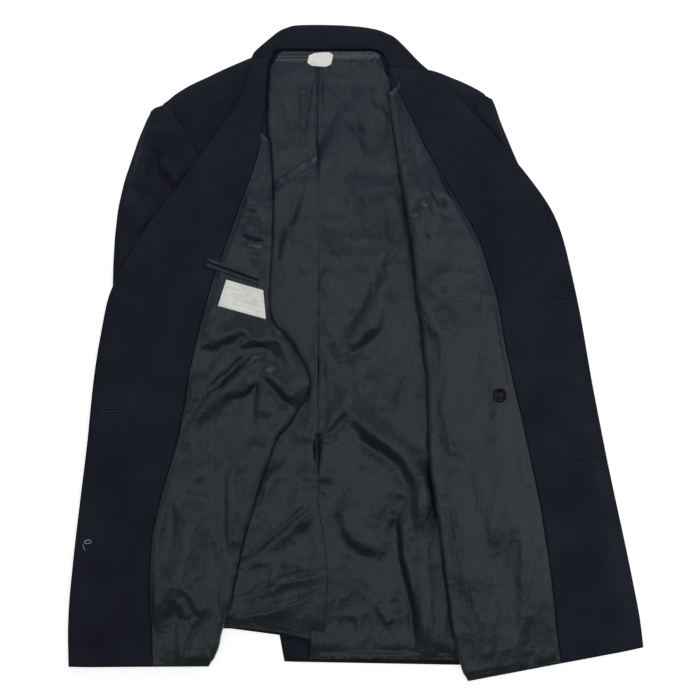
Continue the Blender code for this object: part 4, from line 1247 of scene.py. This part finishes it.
radii[1:-1], heights[1:-1] = softened(radii, 1)[1:-1], softened(heights, 1)[1:-1]
turns = np.arange(BUTTON_TURNS) * 2 * math.pi / BUTTON_TURNS
rings = np.stack([
    radii[1:-1, None] * np.cos(turns), radii[1:-1, None] * np.sin(turns),
    np.repeat(heights[1:-1, None], BUTTON_TURNS, axis=1),
], axis=-1)
index = np.arange(rings.shape[0] * BUTTON_TURNS).reshape(-1, BUTTON_TURNS)
nearer, further = index[:-1], index[1:]
faces = np.stack(
    [nearer, further, np.roll(further, -1, 1), np.roll(nearer, -1, 1)], axis=-1
).reshape(-1, 4).tolist()
middle, under = index.size, index.size + 1
faces += [[middle, a, b] for a, b in zip(index[0].tolist(), np.roll(index[0], -1).tolist())]
faces += [[under, b, a] for a, b in zip(index[-1].tolist(), np.roll(index[-1], -1).tolist())]
points = rings.reshape(-1, 3).tolist() + [(0.0, 0.0, heights[0]), (0.0, 0.0, heights[-1])]
mesh = bpy.data.meshes.new("button_resin")
mesh.from_pydata(points, [], faces)
mesh.shade_smooth()
mesh.materials.append(black)
button = bpy.data.objects.new("button_resin", mesh)
bpy.context.scene.collection.objects.link(button)
around = np.array([(8 * math.cos(turn), 8 * math.sin(turn)) for turn in turns[::6]]) * MM
seats = height_on(LEFT_LINING, BUTTON_AT[0] + around[:, 0], BUTTON_AT[1] + around[:, 1], 15 * MM)
seat = float(seats.max()) + 0.5 * MM
button.location = (*BUTTON_AT, seat)
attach(button, "root")
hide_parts("button_inside")
HOLE_OUT = 1.9 * MM
HOLE_TURNS = (20, 110, 200, 290)
THREAD_ASIDE = 0.15  # how far each of a pair of threads lies aside, against HOLE_OUT
holes, crossed = [], []
face = seat + 1.9 * MM
for degrees in HOLE_TURNS:
    turn = math.radians(degrees)
    out = np.array([HOLE_OUT * math.cos(turn), HOLE_OUT * math.sin(turn)])
    hole = out + BUTTON_AT
    way = [(*hole, face - 0.4 * MM), (*hole, face), (*hole, face + 0.04 * MM)]
    # Each hole is a near-black disc: painted shade where the hole opens through the button.
    holes.append(cord(way, 0.85 * MM, sides=14))
    if degrees >= 180:
        continue
    for aside in (-THREAD_ASIDE, THREAD_ASIDE):
        away = np.array([-out[1], out[0]]) * aside
        way = [
            (*(out * share + away + BUTTON_AT), face + 0.75 * MM * (1 - share**2))
            for share in np.linspace(1.0, -1.0, 9)
        ]
        crossed.append(cord(way, 0.3 * MM))
cords_piece("button_holes", holes, PAINTED_SLIT_SHADE)
cords_piece("button_thread", crossed, NAVY_THREAD)

# ---------------------------------------------------------------- Buttonholes and loose threads
# Worked buttonholes: navy purl round a slit, three on the left front and one on the right, for the
# double-breasted closing. A pale thread end is caught in the right facing.

BUTTONHOLES = (
    (RIGHT_FACING, (-310, -69), (-284, -68)),
    (LEFT_FACING, (236, 59), (258, 62)),
    (LEFT_FACING, (253, -37), (276, -34)),
    (LEFT_FACING, (270, -137), (292, -132)),
)
HOLE_HALF_WIDTH = 1.35
PURL_PLACES = 240
purl, slits = [], []
for tree, start, end in BUTTONHOLES:
    start, end = np.array(start, float), np.array(end, float)
    along = (end - start) / np.linalg.norm(end - start)
    aside = np.array([-along[1], along[0]]) * HOLE_HALF_WIDTH
    loop = [start + aside, end + aside]
    loop += [
        end + aside * math.cos(t) + along * HOLE_HALF_WIDTH * math.sin(t) * 1.3
        for t in np.linspace(0.3, math.pi - 0.3, 5)
    ]
    loop += [end - aside, start - aside, start - along * 0.6, start + aside]
    run = np.concatenate([[0], np.cumsum(np.linalg.norm(np.diff(loop, axis=0), axis=1))])
    at = np.linspace(0, run[-1], PURL_PLACES)
    even = np.stack([np.interp(at, run, np.array(loop)[:, k]) for k in range(2)], axis=1)
    way = laid_way(tree, even, 0.55 * MM, PURL_PLACES)
    purl.append(cord(way, 0.62 * MM, twist=0.28, pitch=0.95 * MM))
    # Each slit is a near-black cord: painted shade in the buttonhole's opening.
    slits.append(cord(laid_way(tree, (start, end), 0.42 * MM, 30), 0.7 * MM))
cords_piece("buttonhole_purl", purl, NAVY_THREAD)
cords_piece("buttonhole_slits", slits, PAINTED_SLIT_SHADE)
knot = [
    (-327.5 + 4.6 * math.cos(t) - 0.6 * math.sin(t), -230 + 1.9 * math.sin(t) + 0.8 * math.cos(t))
    for t in np.linspace(0.2, 6.1, 22)
]
tail = ((-334, -233), (-333.2, -236), (-332.4, -238), (-331, -241))
cords_piece("loose_thread", [
    cord(laid_way(RIGHT_FACING, knot, 0.95 * MM, 60), 0.55 * MM),
    cord(laid_way(RIGHT_FACING, tail, 0.9 * MM, 12), 0.4 * MM),
], PALE_THREAD)
